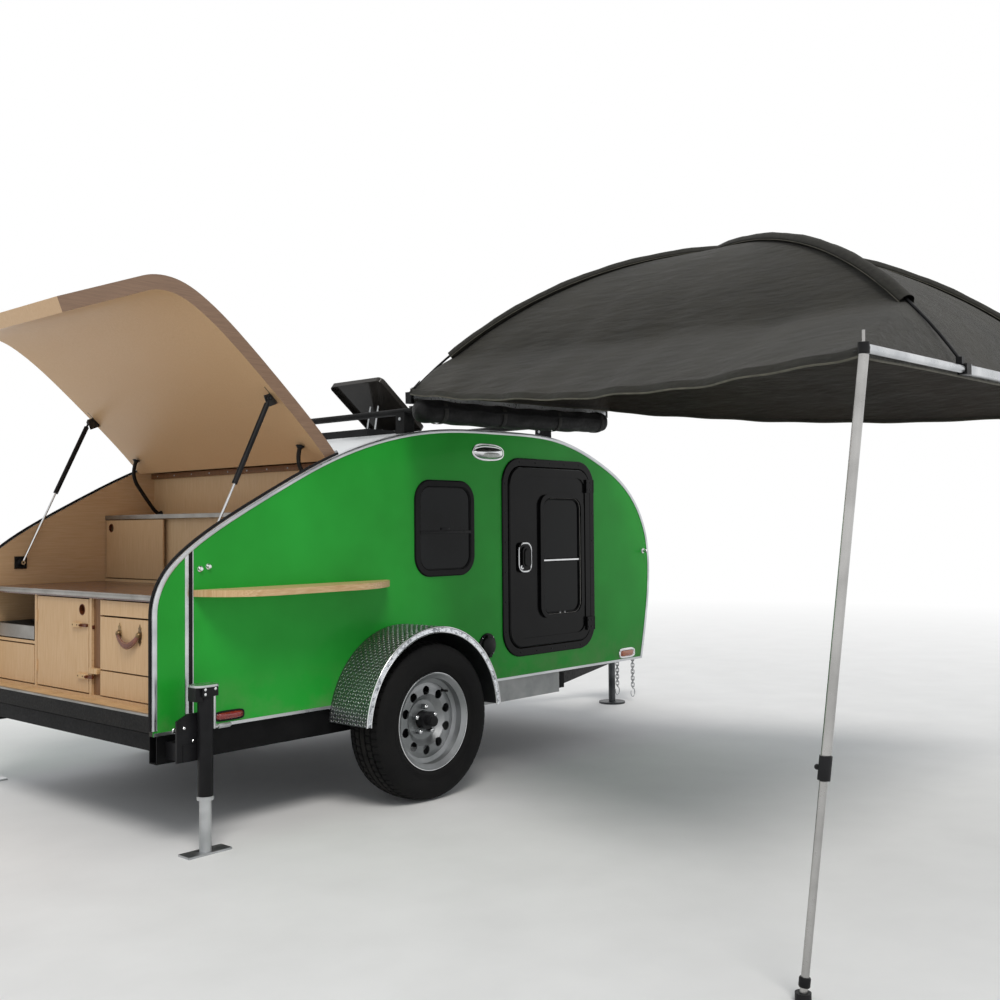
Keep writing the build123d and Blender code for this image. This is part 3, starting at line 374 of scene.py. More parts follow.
paint = wall_finish()
roof_skin = skin_finish("roof_skin", (0.3, 0.6), ("d9bd8c", "b98f5a"), ("9a9c9e", "b5b7b9"))
hatch_skin = skin_finish(
    "hatch_skin", (-0.75, 1.6), ("d9b890", "c59f74", "cfaa80", 0.5), ("7d6350", "8f735d"),
    lambda finish: finish.ramp(finish.axis("Z", finish.facing), 0.2, 0.4), hatch_details,
)
black_satin = plain("black_satin", *BLACK, 7.0, (0.34, 0.48), 0.00008, **MATT)
black_gloss = plain("black_gloss", "0b0b0c", "131314", 7.0, (0.15, 0.25), 0.00005, Specular_IOR_Level=0.13)
black_rough = plain("black_rough", "0f0f0f", "1a1a1a", 9.0, (0.55, 0.75), 0.0002, **MATT)
rubber = plain("rubber", "0d0d0e", "171718", 12.0, (0.6, 0.78), 0.0002, **HALF_MATT)
frame_coat = plain("frame_coat", "0e0e0f", "171719", 6.0, (0.45, 0.6), 0.00025, Specular_IOR_Level=0.1)
silver = metal("silver", *SILVER, (0.26, 0.4), 0.00012, (0.3, 1.0, 1.0))
chrome = metal("chrome", *CHROME, (0.08, 0.18), 0.00005)
dark_steel = metal("dark_steel", "3c3e40", "56585a", (0.38, 0.52))
zinc = metal("zinc", "a4a7a9", "c6c8c9", (0.32, 0.5))
dull_metal = metal("dull_metal", "8d8b87", "a2a09c", (0.38, 0.5), 0.0001)
wheel_paint = plain("wheel_paint", "808384", "999b9d", 6.0, (0.36, 0.48), 0.0001, metallic=0.8)
tread_plate = metal("tread_plate", "aeb1b4", "cdd0d2", (0.22, 0.32), 0.00004)
pane = glass_finish("pane", "07090a", "0e1112")
smoked = glass_finish("smoked", "23211f", "35322f")
window_unit = window_finish()
birch = ply_finish("birch", "d9bd96", "c4a279", figured="cdae85", **FACED)
face_ply = ply_finish("face_ply", "d4b48c", "bd986e", figured="c8a67d", **FACED)
shelf_wood = ply_finish("shelf_wood", "dcbd93", "b98f5f", Coat_Weight=0.15, Coat_Roughness=0.2)
counter_top = ply_finish(
    "counter_top", "63392c", "42261c", (0.22, 0.34), "512d23", Coat_Weight=0.5, Coat_Roughness=0.1
)
floor_board = two_tone(
    "floor_board", ("121212", "1b1a19"), ("b5946b", "c6a67c"),
    lambda f: f.region([(f.axis("Z"), 0.4885, 0.6), (f.axis("X"), -1.3, -1.0)]),
    (0.6, 0.8), (0.45, 0.6), **HALF_MATT,
)
hub_finish = two_tone(
    "hub", BLACK, ("6a6c6e", "8c8e90"),
    lambda f: f.region([(radius_from_axle(f), 0.044, 0.071), (f.far("Y"), 0.9012, 1.2)]),
    (0.3, 0.45), (0.2, 0.3), (0.0, 1.0), Specular_IOR_Level=0.25,
)
# The pole's silver is painted darker than the rail's silver: painted shade
pole_finish = two_tone(
    "pole", ("a7a6a4", "bcbbb9"), BLACK,
    lambda f: f.most(f.band(f.axis("Z"), 0.5285, 0.5915), f.ramp(f.axis("Z"), 0.024, 0.022)),
    SATIN_METAL, SATIN_BLACK, (1.0, 0.0), 0.00003, **HALF_MATT,
)
rail_finish = two_tone(
    "rail", SILVER, BLACK,
    lambda f: f.most(
        f.ramp(from_awning_middle(f), 1.414, 1.417), f.band(from_awning_middle(f), 0.6935, 0.7368)
    ),
    SATIN_METAL, SATIN_BLACK, (1.0, 0.0), 0.00003, **HALF_MATT,
)
base_finish = two_tone(
    "awning_base", SILVER, BLACK,
    lambda f: f.most(f.ramp(f.axis("Y"), -0.8145, -0.8135), f.ramp(from_awning_middle(f), 0.709, 0.71)),
    SATIN_METAL, SATIN_BLACK, (1.0, 0.0), **HALF_MATT,
)
jack_finish = two_tone(
    "corner_jack", BLACK, STEEL, jack_metal, (0.3, 0.45), (0.25, 0.4), (0.0, 1.0), **MATT,
)
tongue_jack_finish = two_tone(
    "tongue_jack", BLACK, STEEL, lambda f: f.ramp(f.far("Y"), 0.0385, 0.0395),
    (0.3, 0.45), (0.25, 0.4), (0.0, 1.0), **MATT,
)
# Side rails are galvanised grey ahead of x 0.38; the black on them further back is painted shade, and the
# cross members are black
chassis_coat = two_tone(
    "chassis", ("0d0d0e", "161617"), ("9b9d9d", "b3b4b3"),
    lambda f: f.times(f.ramp(f.far("Y"), 0.6965, 0.6975), f.ramp(f.axis("X"), 0.38, 0.4)),
    (0.45, 0.6), (0.46, 0.62), (0.0, 0.35), 0.0002, Specular_IOR_Level=0.1,
)
fender_plate = fender_finish()

# Node names, where * stands for each side
COATS = {
    paint: "wall_*",
    roof_skin: "roof_panel",
    hatch_skin: "hatch",
    floor_board: "floor_panel",
    birch: "bulkhead upper_cabinet",
    face_ply: "lower_cabinet drawer_shallow drawer_deep drawer_low galley_door upper_door_*",
    counter_top: "counter_top",
    shelf_wood: "side_shelf",
    black_satin: "hatch_latch strut_cylinder_* vent_curb awning_bows",
    black_gloss: "door_casing_* door_*",
    black_rough: "crossbar_rear crossbar_front awning_bag awning_canopy",
    rubber: "loom_* tyre_*",
    chrome: "strut_rod_*",
    pane: "door_glass_*",
    window_unit: "window_*",
    chassis_coat: "chassis_frame",
    frame_coat: "tongue axle",
    wheel_paint: "rim_*",
    hub_finish: "hub_*",
    fender_plate: "fender_*",
    dull_metal: "stove_tray",
    smoked: "vent_lid",
    base_finish: "awning_base",
    rail_finish: "awning_rail",
    pole_finish: "awning_pole_rear awning_pole_front",
    jack_finish: "rear_jack_*",
    zinc: "jack_leg_*",
    dark_steel: "tongue_leg",
    tongue_jack_finish: "tongue_jack",
}
for finish, names in COATS.items():
    for name in sorted({name.replace("*", side) for name in names.split() for side in ("right", "left")}):
        node = nodes[name]
        if not node.material_slots:
            node.data.materials.append(None)
        for slot in node.material_slots:
            slot.material = finish.material


# Mesh tools

def mm(*points):
    """Points given in millimetres."""
    return [tuple(value / 1000 for value in point) for point in points]


class Piece:
    """Collects parts in one mesh, then becomes one object that rides on a body."""

    def __init__(self, name, finish, body="trailer", slot=None):
        self.name, self.finish, self.body, self.slot = name, finish, body, slot
        self.verts, self.faces = [], []

    def add(self, verts, faces):
        first = len(self.verts)
        self.verts.extend(Vector(v) for v in verts)
        self.faces.extend(tuple(first + i for i in face) for face in faces)

    def grid(self, rows, wrap_rows=False, wrap_columns=False):
        """Surface through rows of points."""
        columns = len(rows[0])
        faces = []
        for i in range(len(rows) - (0 if wrap_rows else 1)):
            for j in range(columns - (0 if wrap_columns else 1)):
                a, b = i * columns, (i + 1) % len(rows) * columns
                k = (j + 1) % columns
                faces.append((a + j, a + k, b + k, b + j))
        self.add([p for row in rows for p in row], faces)

    def sweep(self, path, section, upward=(0, 0, 1), closed=False, ends=True, scale=None):
        """Closed section, as (side, up) pairs, carried along a path that keeps one upward direction."""
        rows = []
        count = len(path)
        for i, here in enumerate(path):
            before = path[i - 1] if closed or i else path[0]
            after = path[(i + 1) % count] if closed or i < count - 1 else path[-1]
            along = (Vector(after) - Vector(before)).normalized()
            lift = Vector(upward[i] if isinstance(upward, list) else upward)
            aside = along.cross(lift).normalized()
            lift = aside.cross(along)
            size = scale(i / max(count - 1, 1)) if scale else 1.0
            rows.append([Vector(here) + aside * (a * size) + lift * (b * size) for a, b in section])
        first = len(self.verts)
        self.grid(rows, closed, True)
        if ends and not closed:
            width = len(section)
            self.faces.append(tuple(first + i for i in range(width)))
            self.faces.append(tuple(len(self.verts) - 1 - i for i in range(width)))

    def tube(self, path, radius, sides=12, upward=(0, 0, 1), closed=False, scale=None):
        """Round tube along a path."""
        self.sweep(path, circle(radius, sides), upward, closed, True, scale)

    def lathe(self, profile, origin, axis, sides=32):
        """Turned shape from (along, radius) pairs about an axis."""
        axis = Vector(axis).normalized()
        across = axis.orthogonal().normalized()
        other = axis.cross(across)
        rows = []
        for i in range(sides):
            angle = 2 * math.pi * i / sides
            outward = across * math.cos(angle) + other * math.sin(angle)
            rows.append([Vector(origin) + axis * a + outward * r for a, r in profile])
        self.grid(rows, True, False)

    def plate(self, outline, depth, bevel=0.0, origin=(0, 0, 0), x_dir=(1, 0, 0), y_dir=(0, 0, 1)):
        """Prism on a flat outline, chamfered at its far face; the depth runs along x_dir × y_dir."""
        x_dir, y_dir = Vector(x_dir), Vector(y_dir)
        normal = x_dir.cross(y_dir)
        middle = Vector((sum(p[0] for p in outline), sum(p[1] for p in outline))) / len(outline)
        rows = []
        for height, inset in [(0.0, 0.0), (depth - bevel, 0.0), (depth, bevel)]:
            row = []
            for a, b in outline:
                out = Vector((a, b)) - middle
                out = out * (1 - inset / max(out.length, 1e-6))
                a, b = middle + out
                row.append(Vector(origin) + x_dir * a + y_dir * b + normal * height)
            rows.append(row)
        first = len(self.verts)
        self.grid(rows, False, True)
        count = len(outline)
        self.faces.append(tuple(first + i for i in range(count)))
        last = first + (len(rows) - 1) * count
        self.faces.append(tuple(last + count - 1 - i for i in range(count)))

    def box(self, low, high, bevel=0.0):
        """Box between two corners, in any order, with its edges rounded."""
        shape = bmesh.new()
        bmesh.ops.create_cube(shape, size=1.0)
        low, high = (Vector(pick(p, q) for p, q in zip(low, high)) for pick in (min, max))
        for v in shape.verts:
            v.co = Vector(low[k] + (v.co[k] + 0.5) * (high[k] - low[k]) for k in range(3))
        if bevel:
            bmesh.ops.bevel(shape, geom=shape.edges, offset=bevel, segments=2, profile=0.6, affect="EDGES")
        shape.verts.index_update()
        self.add([v.co for v in shape.verts], [[v.index for v in f.verts] for f in shape.faces])
        shape.free()

    def done(self, smooth=40.0, subdivide=0, replaces=()):
        """Cleans the mesh, gives it its finish and makes it ride on its body."""
        mesh = bpy.data.meshes.new(self.name)
        mesh.from_pydata(self.verts, [], self.faces)
        shape = bmesh.new()
        shape.from_mesh(mesh)
        bmesh.ops.remove_doubles(shape, verts=shape.verts, dist=1e-6)
        bmesh.ops.recalc_face_normals(shape, faces=shape.faces)
        limit = math.radians(smooth)
        for face in shape.faces:
            face.smooth = True
        for edge in shape.edges:
            edge.smooth = edge.calc_face_angle(math.pi) < limit
        shape.to_mesh(mesh)
        shape.free()
        mesh.materials.append(self.finish.material)
        piece = bpy.data.objects.new(self.name, mesh)
        bpy.context.scene.collection.objects.link(piece)
        if subdivide:
            piece.modifiers.new("finer", "SUBSURF").levels = subdivide
            piece.modifiers["finer"].render_levels = subdivide
        if self.body:
            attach(piece, self.body)
        if replaces:
            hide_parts(*replaces)
        return piece


def rounded(width, height, radius, steps=6, centre=(0.0, 0.0)):
    """Outline of a rounded rectangle, anticlockwise."""
    points = []
    for k, (sx, sy) in enumerate(((1, -1), (1, 1), (-1, 1), (-1, -1))):
        for i in range(steps + 1):
            angle = math.pi / 2 * (k - 1 + i / steps)
            points.append((
                centre[0] + sx * (width / 2 - radius) + radius * math.cos(angle),
                centre[1] + sy * (height / 2 - radius) + radius * math.sin(angle),
            ))
    return points


def circle(radius, steps, height=None):
    """Outline of a circle, or of an ellipse where a half height is given."""
    angles = [2 * math.pi * i / steps for i in range(steps)]
    return [(radius * math.cos(a), (radius if height is None else height) * math.sin(a)) for a in angles]


def squared(value, power):
    """Sine or cosine of an outline that is nearer a rectangle where the power is below 1."""
    return math.copysign(abs(value) ** power, value)


def beside(sign, x, y, z):
    """Place on one side of the trailer, y from its middle."""
    return Vector((x, sign * y, z))


def wall_outlines():
    """Outlines of the right wall's outer face as (x, z) loops, the longest first."""
    mesh = nodes["wall_right"].data
    side = -OUTER_Y
    count = {}
    for face in mesh.polygons:
        corners = [mesh.vertices[i].co for i in face.vertices]
        if all(abs(c.y - side) < 1e-4 for c in corners):
            keys = [(round(c.x, 5), round(c.z, 5)) for c in corners]
            for a, b in zip(keys, keys[1:] + keys[:1]):
                count[frozenset((a, b))] = count.get(frozenset((a, b)), 0) + 1
    near = {}
    for pair, times in count.items():
        if times == 1 and len(pair) == 2:
            a, b = pair
            near.setdefault(a, []).append(b)
            near.setdefault(b, []).append(a)
    loops = []
    while near:
        start = min(near)
        loop, here = [start], start
        while near.get(here):
            after = near[here].pop()
            near[after].remove(here)
            if after == start:
                break
            loop.append(after)
            here = after
        for key in [k for k, v in near.items() if not v]:
            del near[key]
        loops.append(loop)
    return sorted(loops, key=len, reverse=True)


OUTER_Y = 0.762
SIDES = ((-1, "right"), (1, "left"))
outlines = wall_outlines()


# Awning: the canopy, its sleeves and hems, and the bag under its base

SLOPE = math.radians(1.4)
PIVOT_Z = 1.785
UNDER_BOW = 0.011
CROSSING = 0.4791
SLEEVE_ENDS = (0.072, 0.895)
SLEEVE_RING = 0.84
BASE_CORNER = (0.738, -0.858, 1.772)
RAIL_CORNER = (1.426, -3.186, 1.628)
CANOPY_CELLS = 48


def sloped(x, y, z):
    """Awning point as measured level, with the front end raised."""
    dx, dz = x - AWNING_X, z - PIVOT_Z
    return Vector((
        AWNING_X + dx * math.cos(SLOPE) - dz * math.sin(SLOPE), y,
        PIVOT_Z + dx * math.sin(SLOPE) + dz * math.cos(SLOPE),
    ))


class Bow:
    """Arc under one bow from the base to the rail, before the slope."""

    def __init__(self, side):
        a = Vector((AWNING_X - side * 0.688, -0.832, 1.786 - UNDER_BOW))
        c = Vector((AWNING_X + side * 0.748, -3.2, 1.662 - UNDER_BOW))
        b = (a + c) / 2
        b.z = 2.32 - UNDER_BOW
        ab, ac = b - a, c - a
        normal = ab.cross(ac)
        offset = normal.cross(ab) * ac.length_squared + ac.cross(normal) * ab.length_squared
        self.centre = a + offset / (2 * normal.length_squared)
        self.start = a - self.centre
        self.other = normal.normalized().cross(self.start)
        end = c - self.centre
        self.sweep = math.atan2(end.dot(self.other), end.dot(self.start)) % (2 * math.pi)

    def at(self, share):
        angle = self.sweep * share
        return self.centre + self.start * math.cos(angle) + self.other * math.sin(angle)


BOWS = {1: Bow(1), -1: Bow(-1)}


def corner(end, side, ring):
    """Canopy point on a crease or beyond it; end 0 is at the base and 1 at the rail, side -1 the rear."""
    bow = BOWS[side if end else -side]
    stop = SLEEVE_ENDS[end]
    if ring <= SLEEVE_RING:
        return bow.at(CROSSING + (stop - CROSSING) * ring / SLEEVE_RING)
    half, y, z = RAIL_CORNER if end else BASE_CORNER
    share = (ring - SLEEVE_RING) / (1 - SLEEVE_RING)
    lean = Vector((0, 0, math.sin(math.pi * share) * 0.02))
    return bow.at(stop).lerp(Vector((AWNING_X + side * half, y, z)), share) + lean


def canopy_point(s, t):
    """Canopy over the square -1..1: s runs from the rear to the front, t from the base to the rail."""
    ring = max(abs(s), abs(t), 1e-6)
    on_side = abs(s) >= abs(t)
    side, end = (1 if s > 0 else -1), (1 if t > 0 else 0)
    if on_side:
        across = t / ring
        a, b = corner(0, side, ring), corner(1, side, ring)
    else:
        across = s / ring
        a, b = corner(end, -1, ring), corner(end, 1, ring)
    point = a.lerp(b, (across + 1) / 2)
    belly = 1 - across * across
    away = 1 - abs(across)
    if on_side:
        hem = max(0.0, (ring - 0.62) / 0.38) ** 2
        point.z -= belly * (0.018 * ring + 0.04 * hem)
        point.x -= side * belly * (0.012 * ring + 0.034 * hem)
        folds = math.sin(across * 19 + ring * 6 + 1.3 * side) * math.sin(across * 7.3 + 0.8)
        low = max(0.0, ring - 0.45) / 0.55 * min(1.0, away / 0.1)
        creases = math.sin(31 * ring + 9 * across * side + 3 * math.sin(5 * across))
        creases *= math.exp(-((ring - 0.86) / 0.12) ** 2)
        point.x += side * (0.011 * folds + 0.004 * creases) * low * (0.35 + belly)
        point.z += 0.004 * folds * low
    else:
        point.z -= belly * 0.016 * ring * (1 - ring)
    # slack gathers along the creases and fans out of the crossing and the corners
    held = min(1.0, away / 0.1)
    fan = math.sin(38 * away * (1.2 - ring) + 5 * ring) * math.exp(-7 * away)
    point.z += 0.006 * fan * ring * held
    broad = noise.noise(Vector((s * 2.3, t * 2.3, 4.0)))
    fine = noise.noise(Vector((s * 9.0 + 3.0, t * 6.0, 1.0)))
    edge = min(1.0, (1 - ring) / 0.08)
    point.z += (0.01 * broad + 0.0032 * fine) * ring * (0.25 + 0.75 * edge) * held
    return point


def on_canopy(s, t):
    return sloped(*canopy_point(s, t))


def canopy_finish():
    """Olive coated canvas: fine weave, faded broad patches, and a darker under side that is painted shade.
    """
    finish = Finish("canopy_canvas", Sheen_Weight=0.08, Sheen_Roughness=0.5, Specular_IOR_Level=0.25)
    patches = finish.spread(finish.noise(2.4, 4.0), 0.0, 1.0)
    threads = [
        finish.node("TexWave", {"bands_direction": axis}, Vector=finish.place, Scale=420.0, Distortion=0.6)
        for axis in "XY"
    ]
    weave = finish.times(*(wave.outputs["Fac"] for wave in threads))
    slub = finish.noise(55.0, 4.0, (1.0, 0.2, 1.0))
    cloth = finish.mix(patches, rgb("2b2a26"), rgb("36342e"))
    cloth = finish.mix(finish.ramp(weave, 0.0, 0.8, 0.0, 0.3), cloth, rgb("1a1916"))
    cloth = finish.mix(finish.ramp(slub, 0.45, 0.75, 0.0, 0.25), cloth, rgb("45433a"))
    # painted shade: back faces get a darker, browner colour than the top
    back = finish.node("NewGeometry").outputs["Backfacing"]
    under = finish.mix(patches, rgb("241f19"), rgb("2f2820"))
    finish.bump(finish.noise(20.0, 5.0, (1.0, 0.4, 1.6), 0.6), 0.0045)
    finish.bump(finish.noise(5.0, 4.0, (1.0, 0.35, 2.0), 0.6), 0.028)
    finish.bump(weave, 0.0004)
    return finish.set(finish.mix(back, cloth, under), finish.spread(slub, 0.62, 0.8))


canvas = canopy_finish()
webbing = plain("webbing", "121212", "24231f", 30.0, (0.65, 0.85), 0.0004, (1, 1, 3))
hem_tape = plain("hem_tape", "4b493f", "5d5a4e", 24.0, (0.6, 0.8), 0.0003, (3, 1, 3))
sleeve_cloth = plain(
    "sleeve_cloth", "201f1b", "2b2a25", 40.0, (0.6, 0.8), 0.0008, (1, 1, 2), Specular_IOR_Level=0.25
)
bag_cloth = plain("bag_cloth", "0b0b0c", "151516", 9.0, (0.5, 0.7), 0.001, Sheen_Weight=0.05, **HALF_MATT)


def canopy_sleeves():
    """Sleeves over the bows, fuller above than below, and the seams beside them."""
    sleeves = Piece("awning_sleeves", sleeve_cloth, slot="canopy_cloth")
    seams = Piece("awning_seams", hem_tape, slot="canopy_cloth")
    section = [
        (0.025 * a if b > 0 else 0.029 * a, 0.0205 * b if b > 0 else 0.0165 * b) for a, b in circle(1.0, 20)
    ]
    for bow in BOWS.values():
        path, lifts = [], []
        for i in range(73):
            here = bow.at(SLEEVE_ENDS[0] + (SLEEVE_ENDS[1] - SLEEVE_ENDS[0]) * i / 72)
            lifts.append((here - bow.centre).normalized())
            path.append(sloped(*(here + lifts[-1] * 0.003)))
        sleeves.sweep(
            path, section, lifts, ends=False,
            scale=lambda u: 1 + 0.05 * math.sin(u * 61) + 0.03 * math.sin(u * 147),
        )
        for out in (-0.0285, 0.0285):
            line = []
            for here, lift, after, before in zip(path, lifts, path[1:] + path[-1:], path[:1] + path[:-1]):
                aside = (after - before).normalized().cross(lift).normalized()
                line.append(here + aside * out - lift * 0.007)
            seams.tube(line, 0.0013, 6, lifts)
    return [sleeves.done(smooth=60.0), seams.done()]


def canopy_hems():
    """Folded hem along each edge with the tape under it."""
    hems = Piece("awning_hems", canvas, slot="canopy_cloth")
    tapes = Piece("awning_hem_tape", hem_tape, slot="canopy_cloth")
    shares = [-1 + i / 32 for i in range(65)]
    for along in (
        lambda u: (u, -1), lambda u: (1, u), lambda u: (-u, 1), lambda u: (-1, -u),
    ):
        path = [on_canopy(*along(u)) for u in shares]
        hems.sweep(path, rounded(0.004, 0.026, 0.0018, 2))
        tapes.sweep([p + Vector((0, 0, -0.0125)) for p in path], rounded(0.0056, 0.006, 0.002, 2))
    return [hems.done(smooth=60.0), tapes.done()]


def canopy_tabs():
    """Webbing tabs that carry the pull at the four corners."""
    tabs = Piece("awning_corner_tabs", webbing, slot="canopy_cloth")
    for s in (-1, 1):
        for t in (-1, 1):
            tip = on_canopy(s, t)
            inward = (on_canopy(0.93 * s, 0.93 * t) - tip).normalized()
            tabs.sweep([tip - inward * 0.004, tip + inward * 0.06], rounded(0.03, 0.0044, 0.0018, 3))
    return [tabs.done(smooth=60.0)]


def canopy():
    """The canopy sheet with what is sewn to it."""
    levels = [-1 + 2 * i / CANOPY_CELLS for i in range(CANOPY_CELLS + 1)]
    # grid lines gather towards the hems
    levels = [math.copysign(1 - (1 - abs(v)) ** 1.15, v) for v in levels]
    sheet = Piece("awning_canopy_sheet", canvas, slot="canopy_cloth")
    sheet.grid([[on_canopy(s, t) for t in levels] for s in levels])
    cloth = sheet.done(smooth=70.0, subdivide=1, replaces=["awning_canopy"])
    canopy_sleeves() + canopy_hems() + canopy_tabs()


BAG_START, BAG_STOP = -0.038, 1.33
BAG_LENGTH = BAG_STOP - BAG_START
BAG_Y, BAG_Z = -0.906, 1.686
BAG_SIDES = 32


def bag_sag(u):
    return 0.008 * math.sin(math.pi * u) + 0.002 * math.sin(u * 43)


def bag_shell():
    """Sagging shell with rounded ends."""
    shell = Piece("awning_bag_shell", bag_cloth, slot="bag_cloth")
    rows = []
    for i in range(97):
        u = i / 96
        x = BAG_START + BAG_LENGTH * u
        end = min(1.0, min(u, 1 - u) * BAG_LENGTH / 0.05)
        close = max(0.02, math.sqrt(max(0.0, 1 - (1 - end) ** 2)))
        row = []
        for k in range(BAG_SIDES):
            angle = 2 * math.pi * k / BAG_SIDES
            wide = 0.0535 * close * (1 + 0.018 * math.sin(5 * angle + u * 31))
            high = 0.05 * close * (1 + 0.02 * math.sin(3 * angle + u * 23))
            y = BAG_Y + squared(math.cos(angle), 0.8) * wide
            z = BAG_Z - bag_sag(u) + squared(math.sin(angle), 0.8) * high
            fold = 0.0022 * noise.noise(Vector((x * 16, angle * 2.2, 3.0)))
            row.append(sloped(x, y + fold * math.cos(angle), z + fold * math.sin(angle)))
        rows.append(row)
    shell.grid(rows, False, True)
    count = len(shell.verts)
    shell.faces.append(tuple(range(BAG_SIDES)))
    shell.faces.append(tuple(count - 1 - k for k in range(BAG_SIDES)))
    shell.done(smooth=60.0, subdivide=1, replaces=["awning_bag"])


def bag():
    """Long bag that hangs under the base, with its zip and straps."""
    bag_shell()
    zip_line = Piece("awning_bag_zip", rubber, slot="bag_cloth")
    shares = [0.03 + 0.94 * i / 59 for i in range(60)]
    path = [sloped(BAG_START + BAG_LENGTH * u, -0.9605, 1.7 - bag_sag(u)) for u in shares]
    zip_line.sweep(path, rounded(0.01, 0.0022, 0.001, 2), (0, -1, 0.15))
    zip_line.done()

    straps = Piece("awning_bag_straps", webbing, slot="bag_cloth")
    for x in (0.1, 0.49, 0.9, 1.25):
        middle = BAG_Z - 0.008 * math.sin(math.pi * (x - BAG_START) / BAG_LENGTH)
        loop = [
            sloped(x, BAG_Y + squared(a, 0.8) * 0.0555, middle + squared(b, 0.8) * 0.052)
            for a, b in circle(1.0, 28)
        ]
        outward = [(p - sloped(x, BAG_Y, middle)).normalized() for p in loop]
        straps.sweep(loop, rounded(0.025, 0.0022, 0.001, 2), outward, closed=True)
    straps.done()


canopy()
bag()


# Wheels: tyres with their tread, and what sits on the rims and hubs

WHEEL_Y = 0.887
TYRE_PROFILE = mm(
    (-68, 189), (-74.5, 195), (-77.5, 208.5), (-87.2, 211.5), (-93.5, 222), (-99, 240), (-102, 257.5),
    (-102.5, 272), (-101.5, 286), (-99, 298.5), (-95, 308.5), (-90.5, 315), (-86, 320.5), (-80, 325.5),
)
TREAD_BLOCKS, BLOCK_STEPS = 64, 5
TREAD_EDGE = 0.076
TREAD_STOPS = (0.0, 0.008, 0.031, 0.038, 0.062, 0.07, TREAD_EDGE)
TREAD_GROOVES = (0.016, 0.047)
GROOVE_HALF, GROOVE_DEPTH, CUT_DEPTH = 0.0042, 0.0075, 0.0048
RIB_DEPTH = 0.0012


def tread_width_stops():
    """Widths across the tread, with both walls of each groove."""
    walls = (-GROOVE_HALF - 0.001, -GROOVE_HALF + 0.0006, GROOVE_HALF - 0.0006, GROOVE_HALF + 0.001)
    half = sorted({*TREAD_STOPS, *(round(groove + wall, 5) for groove in TREAD_GROOVES for wall in walls)})
    return [-w for w in reversed(half) if w] + half


def tread_point(width, i):
    """Width and radius of a point of the tread in one of its steps around the tyre."""
    phase = i % BLOCK_STEPS
    crown = 0.335 - 0.0085 * (abs(width) / TREAD_EDGE) ** 2.6
    if any(abs(abs(width) - groove) < GROOVE_HALF for groove in TREAD_GROOVES):
        return width + 0.0022 * (1 if (i // 2) % 2 else -1), crown - GROOVE_DEPTH
    shoulder = abs(width) > TREAD_GROOVES[1] + GROOVE_HALF
    middle = abs(width) < TREAD_GROOVES[0] - GROOVE_HALF
    cut = (phase == 0) if shoulder else (phase == (3 if width > 0 else 1)) and not middle
    return width, crown - CUT_DEPTH if cut else crown


def tyre(sign, side):
    """Tyre with ribbed tread, staggered cuts and a stepped side wall."""
    piece = Piece(f"tyre_dressed_{side}", tyre_rubber, f"wheel_{side}", "tyre_rubber")
    widths = tread_width_stops()
    rows = []
    steps = TREAD_BLOCKS * BLOCK_STEPS
    for i in range(steps):
        angle = 2 * math.pi * i / steps
        rib = 0.0 if i % BLOCK_STEPS else RIB_DEPTH
        wall = [(width, radius - (rib if 0.3 < radius < 0.322 else 0.0)) for width, radius in TYRE_PROFILE]
        row = wall + [tread_point(width, i) for width in widths] + [(-a, b) for a, b in reversed(wall)]
        rows.append([
            (radius * math.cos(angle), sign * (WHEEL_Y + width), AXLE_Z + radius * math.sin(angle))
            for width, radius in row
        ])
    piece.grid(rows, True, True)
    piece.done(smooth=28.0, replaces=[f"tyre_{side}"])


def tyre_finish():
    """Grey-black rubber, dusty in the side wall and worn pale on the tread, with moulded rings."""
    finish = Finish("tyre_rubber", **MATT)
    radius = radius_from_axle(finish)
    mottled = finish.noise(16.0, 5.0)
    base = finish.shade(mottled, "0e0e0f", "171717", 0.35, 0.65)
    dust = finish.ramp(finish.noise(5.0, 6.0), 0.45, 0.7, 0.0, 0.3)
    worn = finish.times(finish.ramp(radius, 0.3305, 0.334, 0.0, 0.4), finish.ramp(mottled, 0.3, 0.6))
    colour = finish.mix(worn, finish.mix(dust, base, rgb("1f1e1d")), rgb("312f2d"))
    rings = finish.math("SINE", finish.times(radius, 1700.0))
    finish.bump(finish.times(rings, finish.band(radius, 0.222, 0.246, 0.002)), 0.0008)
    finish.bump(finish.noise(180.0, 3.0), 0.0002)
    return finish.set(colour, finish.spread(mottled, 0.7, 0.86))


NUT_RADIUS = 0.057
NUT_DOME = mm((-2, 0), (-2, 10.2), (1, 10.4), (4, 9.2), (6.6, 5.8), (7.6, 0))
RIM_EDGE = 0.2058
VALVE = mm((-8, 0), (-8, 7), (3, 6.8), (6, 5.2), (22, 4.2), (23, 5.4), (34, 5.4), (36, 4.5), (36, 0))
VALVE_RADIUS, VALVE_ANGLE, VALVE_LEAN = 0.152, 0.7, 0.2
GREASE_CAP = mm((0, 0), (0, 22.5), (2, 23.2), (4, 22.5), (5.5, 18), (6, 0))


def around(radius, angle, y=0.0):
    """Place at a distance from the wheels' axis, at an angle from straight ahead upwards."""
    return Vector((radius * math.cos(angle), y, AXLE_Z + radius * math.sin(angle)))


